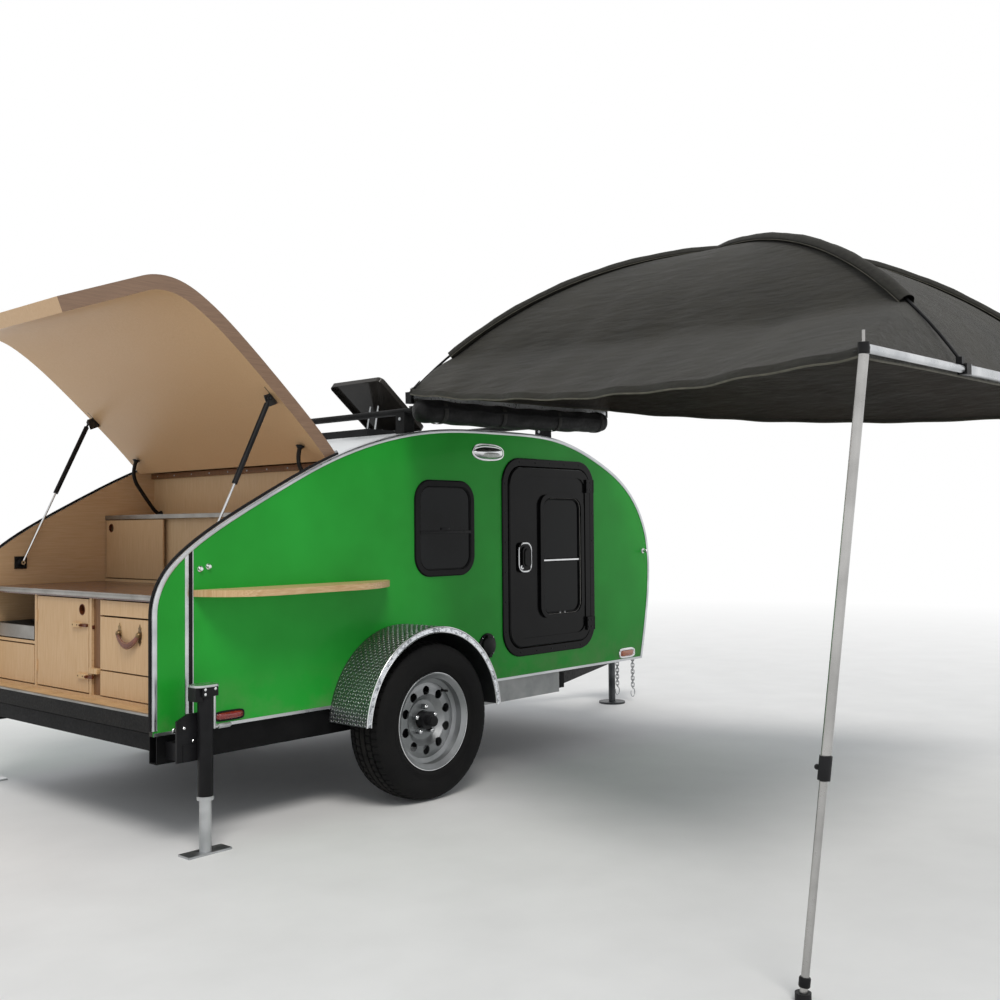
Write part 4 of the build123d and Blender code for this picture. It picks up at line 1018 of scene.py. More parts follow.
def wheel_fittings(sign, side):
    """Wheel nuts' domed ends, the rolled rim edge, the valve and the grease cap's crown."""
    out = (0, sign, 0)
    bright = Piece(f"wheel_fittings_{side}", chrome, f"wheel_{side}", "zinc_steel")
    for k in range(5):
        angle = math.pi / 2 - 2 * math.pi * k / 5
        bright.lathe(NUT_DOME, around(NUT_RADIUS, angle, sign * (WHEEL_Y + 0.038)), out, 18)
    edge = [around(RIM_EDGE, 2 * math.pi * k / 96, sign * (WHEEL_Y + 0.0845)) for k in range(96)]
    bright.tube(edge, 0.0022, 8, out, closed=True)
    bright.done()
    dark = Piece(f"valve_{side}", rubber, f"wheel_{side}", "black_plastic")
    foot = around(VALVE_RADIUS, math.pi / 2 - VALVE_ANGLE, sign * (WHEEL_Y + 0.034))
    dark.lathe(VALVE, foot, (foot.x * VALVE_LEAN, sign, (foot.z - AXLE_Z) * VALVE_LEAN), 16)
    dark.lathe(GREASE_CAP, (0, sign * (WHEEL_Y + 0.083), AXLE_Z), out, 28)
    dark.done()


tyre_rubber = tyre_finish()
for sign, side in SIDES:
    tyre(sign, side)
    wheel_fittings(sign, side)


# Fenders: raised lozenges of the tread plate, rolled lips and the plate inside

FENDER_RADIUS = 0.403
FENDER_EDGE = 0.996
FENDER_START = math.asin(0.028 / FENDER_RADIUS)
FENDER_ARC = math.pi - 2 * FENDER_START
LOZENGE_LENGTH, LOZENGE_WIDTH, LOZENGE_HEIGHT, LOZENGE_PITCH = 0.0078, 0.002, 0.001, 0.0148
LOZENGE = ((1, 0), (0.35, 1), (-0.35, 1), (-1, 0), (-0.35, -1), (0.35, -1))
LOZENGE_FACES = [(6, 7, 8, 9, 10, 11)] + [(k, (k + 1) % 6, 6 + (k + 1) % 6, 6 + k) for k in range(6)]


def lozenge(centre, out, along, over, tilt):
    """Corners of one raised lozenge: its foot and its narrower top."""
    long_way = along * math.cos(tilt) + over * math.sin(tilt)
    short_way = over * math.cos(tilt) - along * math.sin(tilt)
    corners = []
    for level, share in ((0.0, 1.0), (LOZENGE_HEIGHT, 0.5)):
        for a, b in LOZENGE:
            across = short_way * (b * LOZENGE_WIDTH * share)
            corners.append(centre + long_way * (a * LOZENGE_LENGTH * share) + across + out * level)
    return corners


def fender_dress(sign, side):
    lozenges = Piece(f"fender_lozenges_{side}", tread_plate, slot="tread_plate")
    columns = int(FENDER_ARC * FENDER_RADIUS / LOZENGE_PITCH)
    rows = int((FENDER_EDGE - OUTER_Y - 0.012) / LOZENGE_PITCH)
    for i in range(columns + 1):
        angle = FENDER_START + 0.02 + (FENDER_ARC - 0.04) * i / columns
        out = Vector((math.cos(angle), 0, math.sin(angle)))
        along = Vector((-math.sin(angle), 0, math.cos(angle)))
        for j in range(rows + 1):
            across = sign * (OUTER_Y + 0.012 + j * LOZENGE_PITCH)
            centre = Vector((0, across, AXLE_Z)) + out * (FENDER_RADIUS - 0.0002)
            tilt = math.pi / 4 * (1 if (i + j) % 2 else -1)
            lozenges.add(lozenge(centre, out, along, Vector((0, sign, 0)), tilt), LOZENGE_FACES)
    lozenges.done(smooth=30.0)

    lip = Piece(f"fender_lip_{side}", chrome, slot="tread_plate")
    angles = [FENDER_START - 0.002 + (FENDER_ARC + 0.004) * i / 72 for i in range(73)]
    for radius, wire, sides in ((0.4015, 0.004, 10), (0.3795, 0.003, 8)):
        lip.tube([around(radius, a, sign * 0.9945) for a in angles], wire, sides, (0, sign, 0))
    lip.done()


def arch_dark_plate(sign, side):
    """Black plate on the wall inside the fender, which makes the arch dark."""
    liner = Piece(f"arch_dark_plate_{side}", black_rough, slot="black_plastic")
    radius = 0.3985
    low = math.asin((0.423 - AXLE_Z) / radius)
    angles = [low + (math.pi - 2 * low) * i / 48 for i in range(49)]
    outline = [(radius * math.cos(a), radius * math.sin(a)) for a in angles]
    liner.plate(outline, 0.002, 0.0004, (0, sign * (OUTER_Y - 0.0005), AXLE_Z), (-sign, 0, 0))
    liner.done()


for sign, side in SIDES:
    fender_dress(sign, side)
    arch_dark_plate(sign, side)


# Body: edge trim, seals, seam strips, lamps, door and window fittings

HINGE_X = -0.328112
BODY_BOTTOM = 0.418
REAR_X = -1.214
SEAM_X = -1.0585


def body_curve():
    """Side outline in short even runs, from the rear lower corner over the roof to the front one."""
    points = outlines[0]
    rear = min(range(len(points)), key=lambda i: points[i][0] * 10 + points[i][1])
    points = points[rear:] + points[:rear]
    if points[1][1] < BODY_BOTTOM + 0.001:
        points = points[:1] + points[:0:-1]
    path = [Vector(points[0])]
    for a, b in zip(points, points[1:]):
        a, b = Vector(a), Vector(b)
        count = max(1, round((b - a).length / 0.02))
        path.extend(a.lerp(b, i / count) for i in range(1, count + 1))
    return path


CURVE = body_curve()
TOP_START = next(i for i, p in enumerate(CURVE) if p.y > BODY_BOTTOM + 0.004)
HINGE_I = next(i for i, p in enumerate(CURVE) if p.x > HINGE_X + 0.012 and p.y > 0.85)
TRIM_SECTION = mm(
    (0, -16), (2.6, -16), (3.4, -14.8), (3.4, -1), (2.6, 1), (0.8, 1.6), (-24, 1.6), (-24, 0.2), (0, 0.2),
)


def edge_strip(piece, sign, stop, section, inset=0.0):
    """Section of (outwards from the wall, outwards from the curve) pairs carried along the body's curve."""
    path, lifts = [], []
    for i in range(TOP_START, stop):
        along = (CURVE[min(i + 2, len(CURVE) - 1)] - CURVE[max(i - 2, 0)]).normalized()
        out = Vector((-along.y, 0.0, along.x))
        here = Vector((CURVE[i].x, 0.0, CURVE[i].y)) - out * inset
        path.append(here + Vector((0, sign * OUTER_Y, 0)))
        lifts.append(out)
    piece.sweep(path, [(-sign * a, b) for a, b in section], lifts)


def upright_strip(piece, sign, x, near, face, section):
    """Section carried up the wall, from its lower edge to just under the roof's curve."""
    top = max(p.y for p in CURVE if abs(p.x - near) < 0.02) - 0.019
    ends = [beside(sign, x, OUTER_Y + face, z) for z in (BODY_BOTTOM + 0.013, top)]
    piece.sweep(ends, section, (0, sign, 0))


def edge_trims(sign, side):
    trim = Piece(f"edge_trim_{side}", silver)
    edge_strip(trim, sign, len(CURVE), TRIM_SECTION)
    # thin angle along the lower edge
    ends = [beside(sign, x, OUTER_Y + 0.0012, BODY_BOTTOM + 0.006) for x in (REAR_X + 0.002, 1.868)]
    trim.sweep(ends, mm((-1.4, -6), (1.4, -6), (1.4, 6), (-1.4, 6)))
    # seam strips ahead of the galley edge, over a rubber band
    for x, half in ((-1.075, 0.0075), (-1.0485, 0.0018)):
        section = [(half, -0.0015), (half, 0.001), (half * 0.7, 0.0016)]
        upright_strip(trim, sign, x, x, 0.0013, section + [(-a, b) for a, b in reversed(section)])
    trim.done()
    seal = Piece(f"edge_seal_{side}", rubber)
    bulb = [(a - 0.012, 0.0046 + b) for a, b in circle(0.0052, 12)]
    edge_strip(seal, sign, HINGE_I - 1, bulb, -0.0006)
    flat = mm((8.6, -1), (8.6, 0.8), (-8.6, 0.8), (-8.6, -1))
    upright_strip(seal, sign, SEAM_X, -1.058, 0.0008, flat)
    seal.done()


def wall_oval(sign, centre, half_length, half_height, square, steps, share=1.0, level=0.0):
    """Oval on a side wall, nearer a rectangle where square is below 1."""
    points = []
    for k in range(steps):
        angle = 2 * math.pi * k / steps
        a, b = squared(math.cos(angle), square), squared(math.sin(angle), square)
        points.append(
            Vector(centre) + Vector((-sign, 0, 0)) * (half_length * share * a)
            + Vector((0, 0, 1)) * (half_height * share * b) + Vector((0, sign, 0)) * level
        )
    return points


def dome_lamp(name, sign, centre, size, rise, square, finish, slot):
    """Oval or rounded lamp with a domed face on a wall."""
    lamp = Piece(name, finish, slot=slot)
    rows = []
    for r in range(9):
        share = r / 8
        level = rise * math.sqrt(max(0.0, 1 - share ** 2.4))
        rows.append(wall_oval(sign, centre, *size, square, 40, share, level))
    rows.append([p - Vector((0, sign * 0.004, 0)) for p in rows[-1]])
    lamp.grid(rows, False, True)
    lamp.done()


def oval_bezel(piece, sign, centre, size, width, square):
    """Raised ring around a lamp."""
    section = [(-width, -0.002), (-width, width * 0.5), (-width * 0.5, width)]
    section += [(-a, b) for a, b in reversed(section)]
    path = wall_oval(sign, centre, *size, square, 48)
    piece.sweep(path, section, [(0, sign, 0)] * 48, closed=True)


def lens_finish(name, dark, light, ribs=900.0):
    """Coloured lens with fine moulded ribs."""
    finish = Finish(name, Coat_Weight=1.0, Coat_Roughness=0.04)
    glow = finish.spread(finish.noise(40.0, 2.0), 0.0, 1.0)
    lines = finish.math("SINE", finish.times(finish.axis("X"), ribs))
    colour = finish.mix(finish.ramp(lines, -1.0, 1.0, 0.2, 0.8), rgb(dark), rgb(light))
    finish.bump(lines, 0.0003)
    return finish.set(finish.mix(glow, colour, rgb(dark)), finish.ramp(lines, -1, 1, 0.12, 0.2))


red_lens = lens_finish("red_lens", "6e0d0b", "b3211a")
amber_lens = lens_finish("amber_lens", "a8420c", "dd7a24")
clear_lens = lens_finish("clear_lens", "a9aba8", "d8dad6", 500.0)

PORCH = (0.59, 1.52)
PORT = (0.573, 0.596)
PORT_CAP = mm(
    (-1, 0), (-1, 59), (4, 59), (7.5, 55.5), (8.5, 50), (8.5, 47), (6, 46), (6, 44), (16.5, 42.5), (19, 38),
    (19.8, 0),
)
STUD = [
    (-0.001, 0.0085 * 1.3), (0.0012, 0.0085 * 1.3), (0.002, 0.0085 * 0.7), (0.006, 0.0085 * 0.62),
    (0.0085, 0.0085 * 0.95), (0.0115, 0.0085 * 0.8), (0.0125, 0),
]
FRAME_BOLT = mm((-1, 10), (1.5, 9.6), (4.5, 7.4), (6, 4), (6.3, 0))
HOLDER = mm((-1, 13), (2.5, 13), (4, 6), (20, 5.5), (23, 10.5), (30, 11.5), (34, 8), (35, 0))
HOLDER_PLACE = (1.893, 1.02)
HOLDER_HOOK = mm((0, 14, 0), (-10, 20, 12), (-30, 21, 15), (-40, 20, 6), (-36, 19, -4))


def wall_fittings(sign, side):
    """Lamps, port, studs and small hardware on one wall's outer face."""
    out = (0, sign, 0)
    bright = Piece(f"wall_chrome_{side}", chrome)
    dark = Piece(f"wall_black_{side}", black_satin, slot="black_plastic")
    for name, x, z, half_length, half_height, rise, finish, piece, ring, wider, higher in (
        ("rear_marker", -0.888, 0.455, 0.06, 0.0135, 0.01, red_lens, dark, 0.004, 0.003, 0.0025),
        ("front_marker", 1.725, 0.46, 0.062, 0.016, 0.012, amber_lens, bright, 0.007, 0.006, 0.005),
    ):
        size = (half_length, half_height)
        place = beside(sign, x, OUTER_Y + 0.003, z)
        dome_lamp(f"{name}_{side}", sign, place, size, rise, 0.45, finish, "black_plastic")
        size = (half_length + wider, half_height + higher)
        oval_bezel(piece, sign, beside(sign, x, OUTER_Y, z), size, ring, 0.45)
    # porch light: chrome hood over a small lens
    place = beside(sign, PORCH[0], OUTER_Y, PORCH[1])
    dome_lamp(f"porch_light_{side}", sign, place, (0.106, 0.035), 0.032, 0.8, chrome, "zinc_steel")
    lens = beside(sign, PORCH[0], OUTER_Y + 0.012, PORCH[1] - 0.0115)
    dome_lamp(f"porch_lens_{side}", sign, lens, (0.074, 0.018), 0.0225, 0.8, clear_lens, "tinted_glass")
    oval_bezel(bright, sign, place, (0.108, 0.037), 0.005, 0.8)
    # round power inlet with a hinged cap
    port = beside(sign, PORT[0], OUTER_Y, PORT[1])
    dark.lathe(PORT_CAP, port, out, 40)
    for half, depth, low, high in ((0.017, 0.021, 0.036, 0.052), (0.012, 0.024, -0.056, -0.04)):
        dark.box(port + Vector((-half, 0, low)), port + Vector((half, sign * depth, high)), 0.003)
    for a, b in ((1, 1), (-1, 1), (-1, -1), (1, -1)):
        reach = 0.0525 * math.sqrt(0.5)
        screw = port + Vector((reach * a, sign * 0.0065, reach * b))
        bright.lathe(mm((0, 3.5), (1.2, 3), (1.8, 0)), screw, out, 10)
    # snap studs near the rear edge, and a bolt through the frame
    for x, z, profile in ((-1.017, 1.013, STUD), (-0.981, 1.021, STUD), (-1.128, 0.4295, FRAME_BOLT)):
        bright.lathe(profile, beside(sign, x, OUTER_Y, z), out, 18)
    # holder for the open door: a knob on a stalk with a spring hook
    knob = beside(sign, HOLDER_PLACE[0], OUTER_Y, HOLDER_PLACE[1])
    bright.lathe(HOLDER, knob, out, 20)
    bright.tube([knob + beside(sign, *p) for p in HOLDER_HOOK], 0.0022, 8, out)
    bright.done()
    dark.done()


for sign, side in SIDES:
    edge_trims(sign, side)
for sign, side in SIDES:
    wall_fittings(sign, side)


# Entry doors and side windows

DOOR = (1.056, 1.012)
DOOR_PANE = (1.138, 1.012)
WINDOW = (0.29, 1.158)
LATCH_X, LATCH_Z = 0.835, 1.01
LEAF_FACE = 0.776
GLASS_FACE = 0.77
CASING_FACE = 0.77
HINGE_FACE = 0.786
CASING_SCREW = mm((-1, 5), (1.2, 4.6), (2.2, 0))
HINGE_SCREW = mm((-1, 5.5), (1.2, 5.2), (2.4, 0))
DRAIN = mm((-1, 4.8), (1.4, 4.4), (2.2, 0))
BARREL = mm((-1, 12), (3, 11.8), (4.5, 10.5), (4.5, 6.5), (3.2, 6.2), (3.2, 0))
LEAF_SEAL = mm((-3, -3), (-3, 0), (0, 2.4), (3.5, 0), (3.5, -3))
PANE_GASKET = mm((-6, -1), (-6, 6), (-2, 8.5), (6, 3), (6, -1))
PANE_BEAD = mm((-1, 0), (-1, 6.4), (0, 7.2), (1, 6.4), (1, 0))
LATCH_RIM = mm((-3.5, -1), (-3.5, 1.5), (0, 2.8), (3.5, 1.5), (3.5, -1))
SASH_LIP = mm((-4, -1), (-4, 4), (0, 5.5), (5, 2), (5, -1))
FRAME_LIP = mm((-3, -1), (-3, 2), (3, 1), (3, -1))


def framed(piece, sign, face, centre, width, height, radius, section):
    """Section carried around a rounded rectangle on a side's face."""
    path = [Vector((a, sign * face, b)) for a, b in rounded(width, height, radius, 8, centre)]
    piece.sweep(path, section, [(0, sign, 0)] * len(path), closed=True)


def side_box(piece, sign, x, y, z, bevel=0.0):
    """Box between two places along, out from the middle and up."""
    piece.box((x[0], sign * y[0], z[0]), (x[1], sign * y[1], z[1]), bevel)


def door_dress(sign, side):
    body = f"entry_door_{side}"
    out = (0, sign, 0)
    seal = Piece(f"door_seal_{side}", rubber, body)
    framed(seal, sign, LEAF_FACE - 0.005, DOOR, 0.646, 0.886, 0.088, LEAF_SEAL)
    seal.done()
    # gasket and bead around the glass, and the sash bar across it
    trim = Piece(f"door_window_trim_{side}", rubber, body)
    framed(trim, sign, GLASS_FACE, DOOR_PANE, 0.3, 0.582, 0.051, PANE_GASKET)
    side_box(trim, sign, (0.985, 1.291), (GLASS_FACE - 0.001, GLASS_FACE + 0.006), (0.981, 1.001), 0.0015)
    trim.done()
    bead = Piece(f"door_window_bead_{side}", dull_metal, body, "black_plastic")
    framed(bead, sign, GLASS_FACE, DOOR_PANE, 0.31 - 0.0025, 0.592 - 0.0025, 0.055, PANE_BEAD)
    bead.done()
    bright = Piece(f"door_chrome_{side}", chrome, body)
    bar = (GLASS_FACE + 0.0055, GLASS_FACE + 0.0078)
    side_box(bright, sign, (0.99, 1.286), bar, (0.987, 0.995), 0.0008)
    for x in (1.118, 1.158):
        bright.lathe(DRAIN, beside(sign, x, GLASS_FACE + 0.006, 0.7215), out, 14)
    # chrome rim of the latch with its key barrel, and the paddle
    framed(bright, sign, LEAF_FACE + 0.008, (LATCH_X, LATCH_Z), 0.094, 0.14, 0.036, LATCH_RIM)
    barrel = beside(sign, LATCH_X - 0.026, LEAF_FACE + 0.008, LATCH_Z - 0.047)
    bright.lathe(BARREL, barrel, out, 24)
    bright.done()
    paddle = Piece(f"door_paddle_{side}", black_satin, body)
    place = beside(sign, LATCH_X + 0.008, LEAF_FACE + 0.0155, LATCH_Z)
    paddle.plate(rounded(0.048, 0.088, 0.02), 0.006, 0.003, place, (-sign, 0, 0))
    key = (LEAF_FACE + 0.0112, LEAF_FACE + 0.0125)
    side_box(paddle, sign, (barrel.x - 0.0012, barrel.x + 0.0012), key, (barrel.z - 0.005, barrel.z + 0.005))
    paddle.done()
    screws = Piece(f"door_screws_{side}", black_satin, body)
    for x, z in [(x, z + dz) for z in (0.65, 1.374) for x in (1.35, 1.374) for dz in (-0.018, 0.018)]:
        screws.lathe(HINGE_SCREW, beside(sign, x, HINGE_FACE, z), out, 12)
    screws.done()
    # screws around the fixed casing
    casing = Piece(f"casing_screws_{side}", black_satin)
    places = rounded(0.702, 0.941, 0.11, 1, DOOR)
    places += [(DOOR[0] + half, 0.65 + 0.145 * k) for k in range(1, 5) for half in (-0.351, 0.351)]
    places += [(0.82 + 0.118 * k, DOOR[1] + half) for k in range(1, 4) for half in (-0.4705, 0.4705)]
    for x, z in places:
        casing.lathe(CASING_SCREW, beside(sign, x, CASING_FACE, z), out, 12)
    casing.done()


def window_dress(sign, side):
    """Gasket lips, sliding sash bar and its pull."""
    sash = Piece(f"window_sash_{side}", rubber)
    framed(sash, sign, OUTER_Y + 0.002, WINDOW, 0.33, 0.377, 0.062, SASH_LIP)
    framed(sash, sign, OUTER_Y + 0.0005, WINDOW, 0.388, 0.435, 0.092, FRAME_LIP)
    sash.done()
    bars = Piece(f"window_bar_{side}", black_satin)
    side_box(bars, sign, (0.125, 0.455), (OUTER_Y + 0.006, OUTER_Y + 0.0098), (1.1345, 1.1455), 0.001)
    side_box(bars, sign, (0.262, 0.318), (OUTER_Y + 0.002, OUTER_Y + 0.006), (1.15, 1.16), 0.001)
    bars.done()


for sign, side in SIDES:
    door_dress(sign, side)
    window_dress(sign, side)


# Galley: metal edges, finger rings, wooden bolts, the leather handle, tracks and the looms

FACE_X = -1.125
STILE_X = FACE_X + 0.012
COUNTER_X, COUNTER_LOW, COUNTER_TOP = -1.137, 0.8962, 0.914
SHELF_X, SHELF_LOW, SHELF_TOP = -0.56, 1.214, 1.232
SILL_X = -1.208
GALLEY_HALF = 0.7345
FACE_AXES = ((0, -1, 0), (0, 0, 1))
REARWARD = (-1, 0, 0)
DARK_WOOD = {"Specular_IOR_Level": 0.25}

maple = ply_finish("maple", "d2b48a", "bc9668", figured="c8a67a", **DARK_WOOD)
walnut = ply_finish("walnut", "86603f", "6a4930", figured="775538", **DARK_WOOD)
mahogany = ply_finish("mahogany", "6b371e", "4a2413", (0.3, 0.42), "582c18", Coat_Weight=0.05, **HALF_MATT)
bronze = metal("bronze", "5b4a36", "8a7454", (0.32, 0.5), 0.0004, scale=30.0)
loom_cover = plain("loom_cover", "120f0d", "1d1815", 10.0, (0.42, 0.6), 0.0002, **HALF_MATT)


def leather_finish():
    """Red-brown leather with a fine pebble."""
    finish = Finish("leather", Sheen_Weight=0.1, Specular_IOR_Level=0.4)
    pores = finish.noise(420.0, 3.0)
    colour = finish.shade(finish.noise(30.0, 3.0), "5e3324", "7b4732", 0.35, 0.65)
    finish.bump(pores, 0.0006)
    return finish.set(colour, finish.spread(pores, 0.42, 0.62))


leather = leather_finish()


def face_block(piece, y, z, depth, front=FACE_X, bevel=0.002, radius=0.004):
    """Rounded block on the cabinet's face, between two places across and two levels."""
    centre = (-sum(y) / 2, sum(z) / 2)
    outline = rounded(abs(y[1] - y[0]), abs(z[1] - z[0]), radius, 4, centre)
    piece.plate(outline, depth, bevel, (front, 0, 0), *FACE_AXES)


def screw_head(piece, point, radius=0.0038):
    piece.lathe([(-0.0005, radius), (0.0008, radius * 0.9), (0.0014, 0.0)], point, REARWARD, 14)


def metal_edges():
    """Aluminium angles along the counter, the upper shelf and the sill."""
    edge = Piece("counter_edge", dull_metal, slot="awning_aluminium")
    low, high = COUNTER_LOW, COUNTER_TOP
    counter = [
        (0.0, low - 0.0006), (0.0, high + 0.0002), (0.012, high + 0.0002), (0.012, high + 0.001),
        (-0.0012, high + 0.001), (-0.0024, high), (-0.0024, high - 0.006), (-0.0018, high - 0.0068),
        (-0.0018, low + 0.0066), (-0.0024, low + 0.0058), (-0.0024, low), (-0.0018, low - 0.0006),
    ]
    low, high = SHELF_LOW, SHELF_TOP
    shelf = [
        (0.0, low - 0.0006), (0.0, high + 0.0002), (0.012, high + 0.0002), (0.012, high + 0.001),
        (-0.001, high + 0.001), (-0.002, high), (-0.002, low), (-0.0014, low - 0.0006),
    ]
    sill = [
        (-0.0014, 0.486), (-0.0014, 0.4936), (0.014, 0.4936), (0.014, 0.4922), (0.0, 0.4922),
        (0.0, 0.486),
    ]
    for x, section in ((COUNTER_X, counter), (SHELF_X, shelf), (SILL_X, sill)):
        edge.sweep([(x, -GALLEY_HALF, 0), (x, GALLEY_HALF, 0)], section)
    edge.done()


def finger_ring(name, body, centre, radius, front, back):
    """Turned mahogany liner of a finger hole, proud of both faces."""
    ring = Piece(name, mahogany, body)
    depth = back - front
    inner, outer = radius - 0.0004, radius + 0.0004
    profile = [
        (-depth, inner), (0.0012, inner), (0.002, outer), (0.0016, radius + 0.0022),
        (-0.0004, radius + 0.003), (-0.0004, outer), (-depth, outer), (-depth, inner),
    ]
    ring.lathe(profile, (front, *centre), REARWARD, 36)
    ring.done()


def wooden_bolts():
    """Maple keepers with mahogany bolts that hold the cupboard door, and what is fixed to the stile."""
    door = Piece("door_bolts", maple, "cupboard_door", "ply")
    bolts = Piece("door_bolt_bars", mahogany, "cupboard_door", "ply")
    heads = Piece("door_bolt_screws", bronze, "cupboard_door", "ply")
    knob = mm((0, 4.2), (6, 4.6), (9, 3.6), (9.6, 0))
    for y_end, y_mid, z in ((-0.025, -0.093, 0.7785), (-0.068, -0.138, 0.575)):
        face_block(door, (y_mid, y_end), (z - 0.0095, z + 0.0095), 0.011)
        bar = (y_mid - 0.048, y_mid + 0.01)
        face_block(bolts, bar, (z - 0.0062, z + 0.0062), 0.0085, FACE_X - 0.0005, 0.0015, 0.0035)
        bolts.lathe(knob, (FACE_X - 0.008, y_mid - 0.004, z), REARWARD, 16)
        for y in (y_end - 0.01, y_mid + 0.022):
            screw_head(heads, (FACE_X - 0.0108, y, z))
    for made in (door, bolts, heads):
        made.done()
    # the stile is set back from the fronts
    for name, finish, y, z, depth, front, bevel, radius in (
        ("stile_cover", walnut, (-0.229, -0.151), (0.4965, 0.889), 0.0012, 0.0002, 0.0004, 0.001),
        ("stile_keepers", maple, (-0.222, -0.16), (0.59, 0.611), 0.02, -0.0005, 0.0018, 0.003),
        ("stile_catches", mahogany, (-0.174, -0.1535), (0.766, 0.78), 0.01, -0.0005, 0.002, 0.003),
    ):
        block = Piece(name, finish, slot="ply")
        face_block(block, y, z, depth, STILE_X + front, bevel, radius)
        block.done()


HANDLE_Y = (-0.383, -0.528)
HANDLE_Z = 0.761
HANDLE_PLATE = mm(
    (0, 41.5), (-4, 33), (-10, 27), (-8, 20), (-12.5, 12), (-13.5, 0), (-12.5, -12), (-8, -20), (-10, -27),
    (-4, -33),
)
HANDLE_BOSS = mm((0, 12), (8, 11.6), (12.5, 9.2), (15, 5), (15.6, 0))
GRIP_HALF = 0.013
GRIP_STEPS = 28


def grip_width(share):
    """The grip is widest and thickest in the middle, where its sides are sewn."""
    return 0.72 + 0.28 * math.sin(math.pi * share) ** 0.7


def leather_handle():
    """Trunk handle of the deep drawer: two pointed bronze plates with a padded leather grip."""
    plates = Piece("handle_plates", bronze, "pantry_drawer")
    outline = HANDLE_PLATE + [(-a, -b) for a, b in HANDLE_PLATE]
    for y in HANDLE_Y:
        plates.plate([(a - y, b + HANDLE_Z) for a, b in outline], 0.0024, 0.001, (FACE_X, 0, 0), *FACE_AXES)
        plates.lathe(HANDLE_BOSS, (FACE_X - 0.0015, y, HANDLE_Z), REARWARD, 24)
        for lift in (-0.031, 0.031):
            screw_head(plates, (FACE_X - 0.0022, y, HANDLE_Z + lift), 0.003)
    plates.done()
    grip = Piece("leather_handle", leather, "pantry_drawer")
    path = []
    for i in range(GRIP_STEPS + 1):
        share = i / GRIP_STEPS
        hang = math.sin(math.pi * share)
        path.append(Vector((
            FACE_X - 0.0115 - 0.005 * hang, HANDLE_Y[0] + (HANDLE_Y[1] - HANDLE_Y[0]) * share,
            HANDLE_Z - 0.003 - 0.04 * hang ** 0.8,
        )))
    grip.sweep(path, circle(GRIP_HALF, 20, 0.0046), REARWARD, scale=grip_width)
    grip.done()
    seams = Piece("handle_stitches", maple, "pantry_drawer")
    for edge in (-1, 1):
        for i in range(3, GRIP_STEPS - 3):
            along = (path[i + 1] - path[i]).normalized()
            aside = along.cross(Vector(REARWARD)).normalized()
            wide = GRIP_HALF * grip_width(i / GRIP_STEPS)
            middle = path[i] + aside * (edge * wide * 0.72) + Vector((-0.0035, 0, 0))
            seams.tube([middle - along * 0.0014, middle, middle + along * 0.0014], 0.0005, 6, REARWARD)
    seams.done()


def tracks():
    """Channels that the upper doors slide in."""
    channel = Piece("door_tracks", bronze, slot="black_plastic")
    for low, high in ((0.9262, 0.9295), (1.2108, 1.2138)):
        for x in (-0.56, -0.5485, -0.537):
            channel.box((x - 0.0005, -GALLEY_HALF, low), (x + 0.0007, GALLEY_HALF, high), 0.0002)
    channel.done()


def hinge_batten():
    """Batten under the roof at the hatch's hinge, screwed every 15 cm."""
    batten = Piece("hinge_batten", walnut, slot="ply")
    batten.box((-0.3088, -GALLEY_HALF, 1.418), (-0.2905, GALLEY_HALF, 1.444), 0.002)
    batten.done()
    screws = Piece("hinge_batten_screws", zinc)
    for k in range(10):
        screw_head(screws, (-0.3087, -0.675 + 0.15 * k, 1.431), 0.0042)
    screws.done()


FOOT_X, FOOT_Z = -0.985, 1.015
FOOT_FACE, FOOT_BACK = 0.7297, 0.7365
FOOT_SCREW = mm((0, 5), (1.5, 4.8), (3, 2), (3, 0))
FOOT_BOSS = mm((0, 16.5), (3, 16), (6.2, 12), (6.2, 0))


def stud_foot(sign, side):
    """Black moulded foot around a strut's wall stud."""
    foot = Piece(f"strut_foot_{side}", black_satin, slot="black_plastic")
    back = beside(sign, FOOT_X, FOOT_BACK, FOOT_Z)
    foot.plate(rounded(0.052, 0.054, 0.007, 4), 0.0068, 0.002, back, (sign, 0, 0))
    inward = (0, -sign, 0)
    for a in (-0.018, 0.018):
        for b in (-0.018, 0.018):
            foot.lathe(FOOT_SCREW, beside(sign, FOOT_X + a, FOOT_FACE, FOOT_Z + b), inward, 12)
    foot.lathe(FOOT_BOSS, beside(sign, FOOT_X, FOOT_FACE, FOOT_Z), inward, 24)
    foot.done()


LOOM_ROUTE = [
    (-0.2912, 0.674, 1.241), (-0.313, 0.674, 1.241), (-0.364, 0.669, 1.3), (-0.412, 0.659, 1.356),
    (-0.452, 0.648, 1.402), (-0.4652, 0.642, 1.4563), (-0.4492, 0.64, 1.5043),
]
LOOM_RADIUS = 0.0095
LOOM_RINGS = 0.00125
LOOM_COLLAR = mm((0, 17.5), (2.2, 17.2), (3.2, 15), (8.5, 12.2), (9.5, 10), (9.5, 9))
LOOM_TOP = mm((-1.2, 18.5), (1.4, 18.2), (2.6, 15), (8.5, 12), (9.5, 9))


def smooth_line(name, points):
    """Points along the NURBS line through a route."""
    curve = bpy.data.curves.new(name, "CURVE")
    curve.dimensions = "3D"
    curve.resolution_u = 16
    spline = curve.splines.new("NURBS")
    spline.points.add(len(points) - 1)
    for point, place in zip(spline.points, points):
        point.co = (*place, 1.0)
    spline.order_u = 3
    spline.use_endpoint_u = True
    carrier = bpy.data.objects.new(name, curve)
    bpy.context.scene.collection.objects.link(carrier)
    mesh = bpy.data.meshes.new_from_object(carrier)
    line = [v.co.copy() for v in mesh.vertices]
    bpy.data.objects.remove(carrier)
    bpy.data.curves.remove(curve)
    bpy.data.meshes.remove(mesh)
    return line


